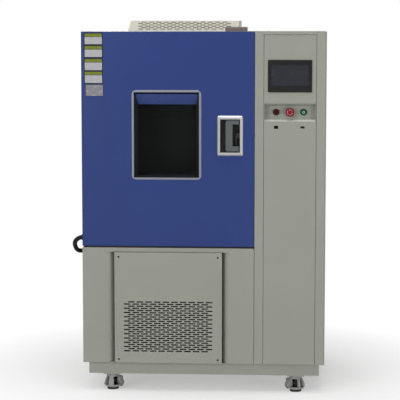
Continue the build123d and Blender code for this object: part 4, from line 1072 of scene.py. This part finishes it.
def add_turned_details():
    for corner in CORNERS:
        low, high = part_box("castor_pad_" + corner)
        centre = ((low[0] + high[0]) / 2, (low[1] + high[1]) / 2, DIAL_HEIGHT)
        grow("dial_ribs_" + corner, RIBS, [centre], DIAL_RIBS, "castor_pad", "pad_" + corner)
    rings = [place(*GUARD_CENTRE)]
    grow("fan_guard_rings", WIRE_RINGS, rings, GUARD_RINGS, "latch_steel", "cabinet")


# Marks on the round buttons

def on_circle(centre, radius, turn):
    return centre[0] + radius * cos(turn), centre[1] + radius * sin(turn)


def arc_arrow(name, centre, radius, width, start, sweep, d, slot, body):
    """A flat arc that ends in an arrow head."""
    steps = 14
    turns = [start + sweep * step / steps for step in range(steps + 1)]
    outer = [on_circle(centre, radius + width / 2, turn) for turn in turns]
    inner = [on_circle(centre, radius - width / 2, turn) for turn in turns]
    last = start + sweep
    head = [
        on_circle(centre, radius + 1.3 * width, last),
        on_circle(centre, radius, last + 2.6 * width / radius),
        on_circle(centre, radius - 1.3 * width, last),
    ]
    flat_piece(name, outer + head + list(reversed(inner)), d, slot, body, 0.00008)


def face_of(node):
    """The middle of a button in x and z, and the depth of its front."""
    low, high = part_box(node)
    centre = ((low[0] + high[0]) * 500 - LEFT_SIDE, (low[2] + high[2]) * 500)
    return centre, low[1] * 1000 - FRONT_PLANE


def add_button_details():
    centre, front = face_of("stop_head")
    for number in range(3):
        start = 0.3 + number * 2 * pi / 3
        d = (front - 0.25, front + 0.4)
        name = "turn_arrow_%d" % (number + 1)
        arc_arrow(name, centre, 11.5, 1.7, start, 1.35, d, "mark_pink", "stop_head")
    centre, front = face_of("start_button")
    outer, inner = (round_outline(*centre, radius) for radius in (5.2, 3.4))
    d = (front - 0.25, front + 0.3)
    flat_piece("start_button_mark", outer, d, "mark_green", "start_button", 0.00008, inner)


add_fasteners()
add_louvres()
add_hood_painted_light()
add_door_plates()
add_door_trim()
add_turned_details()
add_button_details()


# Stage and light

FLOOR_TONE = (0.93, 0.93, 0.93)
FLOOR_RINGS = (1.0, 2.0, 4.0, 12.0, 60.0)
FLOOR_SIDES = 64


def seen_directly(tree, glossy_share):
    """How much a ray counts as seen by the camera, through glass or in a reflection."""
    paths = tree.nodes.new("ShaderNodeLightPath")
    seen = arithmetic(tree, "MAXIMUM", paths.outputs["Is Camera Ray"], paths.outputs["Is Transmission Ray"])
    glossy = arithmetic(tree, "MULTIPLY", paths.outputs["Is Glossy Ray"], glossy_share)
    return arithmetic(tree, "MAXIMUM", seen, glossy)


def floor_material():
    """A pale floor that keeps the shadow near the object and turns white to the camera further out."""
    material, tree, shader, coordinates = start_material("studio_floor_white")
    cloud = noise(tree, coordinates, 3.0, 3.0)
    tone = blend_colour(tree, cloud, shade(FLOOR_TONE, 1.0), shade(FLOOR_TONE, 0.985))
    tree.links.new(tone, shader.inputs["Base Color"])
    shader.inputs["Roughness"].default_value = 0.8
    shader.inputs["Specular IOR Level"].default_value = 0.1
    white = add_node(tree, "ShaderNodeEmission", {"Color": (1.0, 1.0, 1.0, 1.0), "Strength": 1.0})
    away = add_node(tree, "ShaderNodeVectorMath", {0: coordinates}, operation="LENGTH").outputs["Value"]
    fade = spread(tree, away, 0.55, 1.4, 0.42, 1.0)
    share = arithmetic(tree, "MULTIPLY", fade, seen_directly(tree, 1.0))
    mixed = tree.nodes.new("ShaderNodeMixShader")
    tree.links.new(share, mixed.inputs[0])
    tree.links.new(shader.outputs[0], mixed.inputs[1])
    tree.links.new(white.outputs[0], mixed.inputs[2])
    output = tree.nodes["Material Output"]
    tree.links.new(mixed.outputs[0], output.inputs["Surface"])
    return material


def make_stage():
    """A round floor that reaches far behind the object."""
    work = bmesh.new()
    middle = work.verts.new((0.0, 0.0, 0.0))
    rings = []
    for radius in FLOOR_RINGS:
        line = round_outline(0.0, 0.0, radius, FLOOR_SIDES)
        rings.append([work.verts.new((x, y, 0.0)) for x, y in line])
    for step in range(FLOOR_SIDES):
        work.faces.new((middle, rings[0][step], rings[0][(step + 1) % FLOOR_SIDES]))
    for inner, outer in zip(rings, rings[1:]):
        for step in range(FLOOR_SIDES):
            after = (step + 1) % FLOOR_SIDES
            work.faces.new((inner[step], outer[step], outer[after], inner[after]))
    mesh = bpy.data.meshes.new("studio_floor")
    work.to_mesh(mesh)
    work.free()
    mesh.materials.append(floor_material())
    floor = bpy.data.objects.new("studio_floor", mesh)
    bpy.context.scene.collection.objects.link(floor)


# Each lamp: its place, what it points at, its size in metres and its power in watts
LAMPS = {
    "key_lamp": ((-3.9, -5.6, 2.3), (0.0, -0.4, 0.85), (2.2, 2.2), 146.0),
    "fill_lamp": ((4.6, -5.2, 0.6), (0.0, -0.4, 0.5), (2.2, 1.1), 112.0),
    "top_lamp": ((0.2, -1.4, 4.6), (0.0, -0.2, 0.9), (2.6, 2.6), 78.0),
    "rear_lamp": ((-2.0, 6.0, 2.6), (0.0, 0.4, 0.8), (2.6, 2.6), 90.0),
}
AMBIENT = 0.3


def area_lamp(name, location, target, size, power):
    data = bpy.data.lights.new(name, "AREA")
    data.shape = "RECTANGLE"
    data.size, data.size_y = size
    data.energy = power
    lamp = bpy.data.objects.new(name, data)
    lamp.location = location
    lamp.rotation_euler = (Vector(target) - Vector(location)).to_track_quat("-Z", "Y").to_euler()
    bpy.context.scene.collection.objects.link(lamp)


def light_scene():
    """A dim white world that looks white to the camera, and the lamps."""
    world = bpy.data.worlds.new("studio_world")
    world.use_nodes = True
    tree = world.node_tree
    background = tree.nodes["Background"]
    background.inputs["Color"].default_value = (1.0, 1.0, 1.0, 1.0)
    strength = spread(tree, seen_directly(tree, 0.8), 0.0, 1.0, AMBIENT, 1.0)
    tree.links.new(strength, background.inputs["Strength"])
    bpy.context.scene.world = world
    for name, values in LAMPS.items():
        area_lamp(name, *values)


make_stage()
light_scene()
bpy.context.scene.view_settings.view_transform = "Standard"
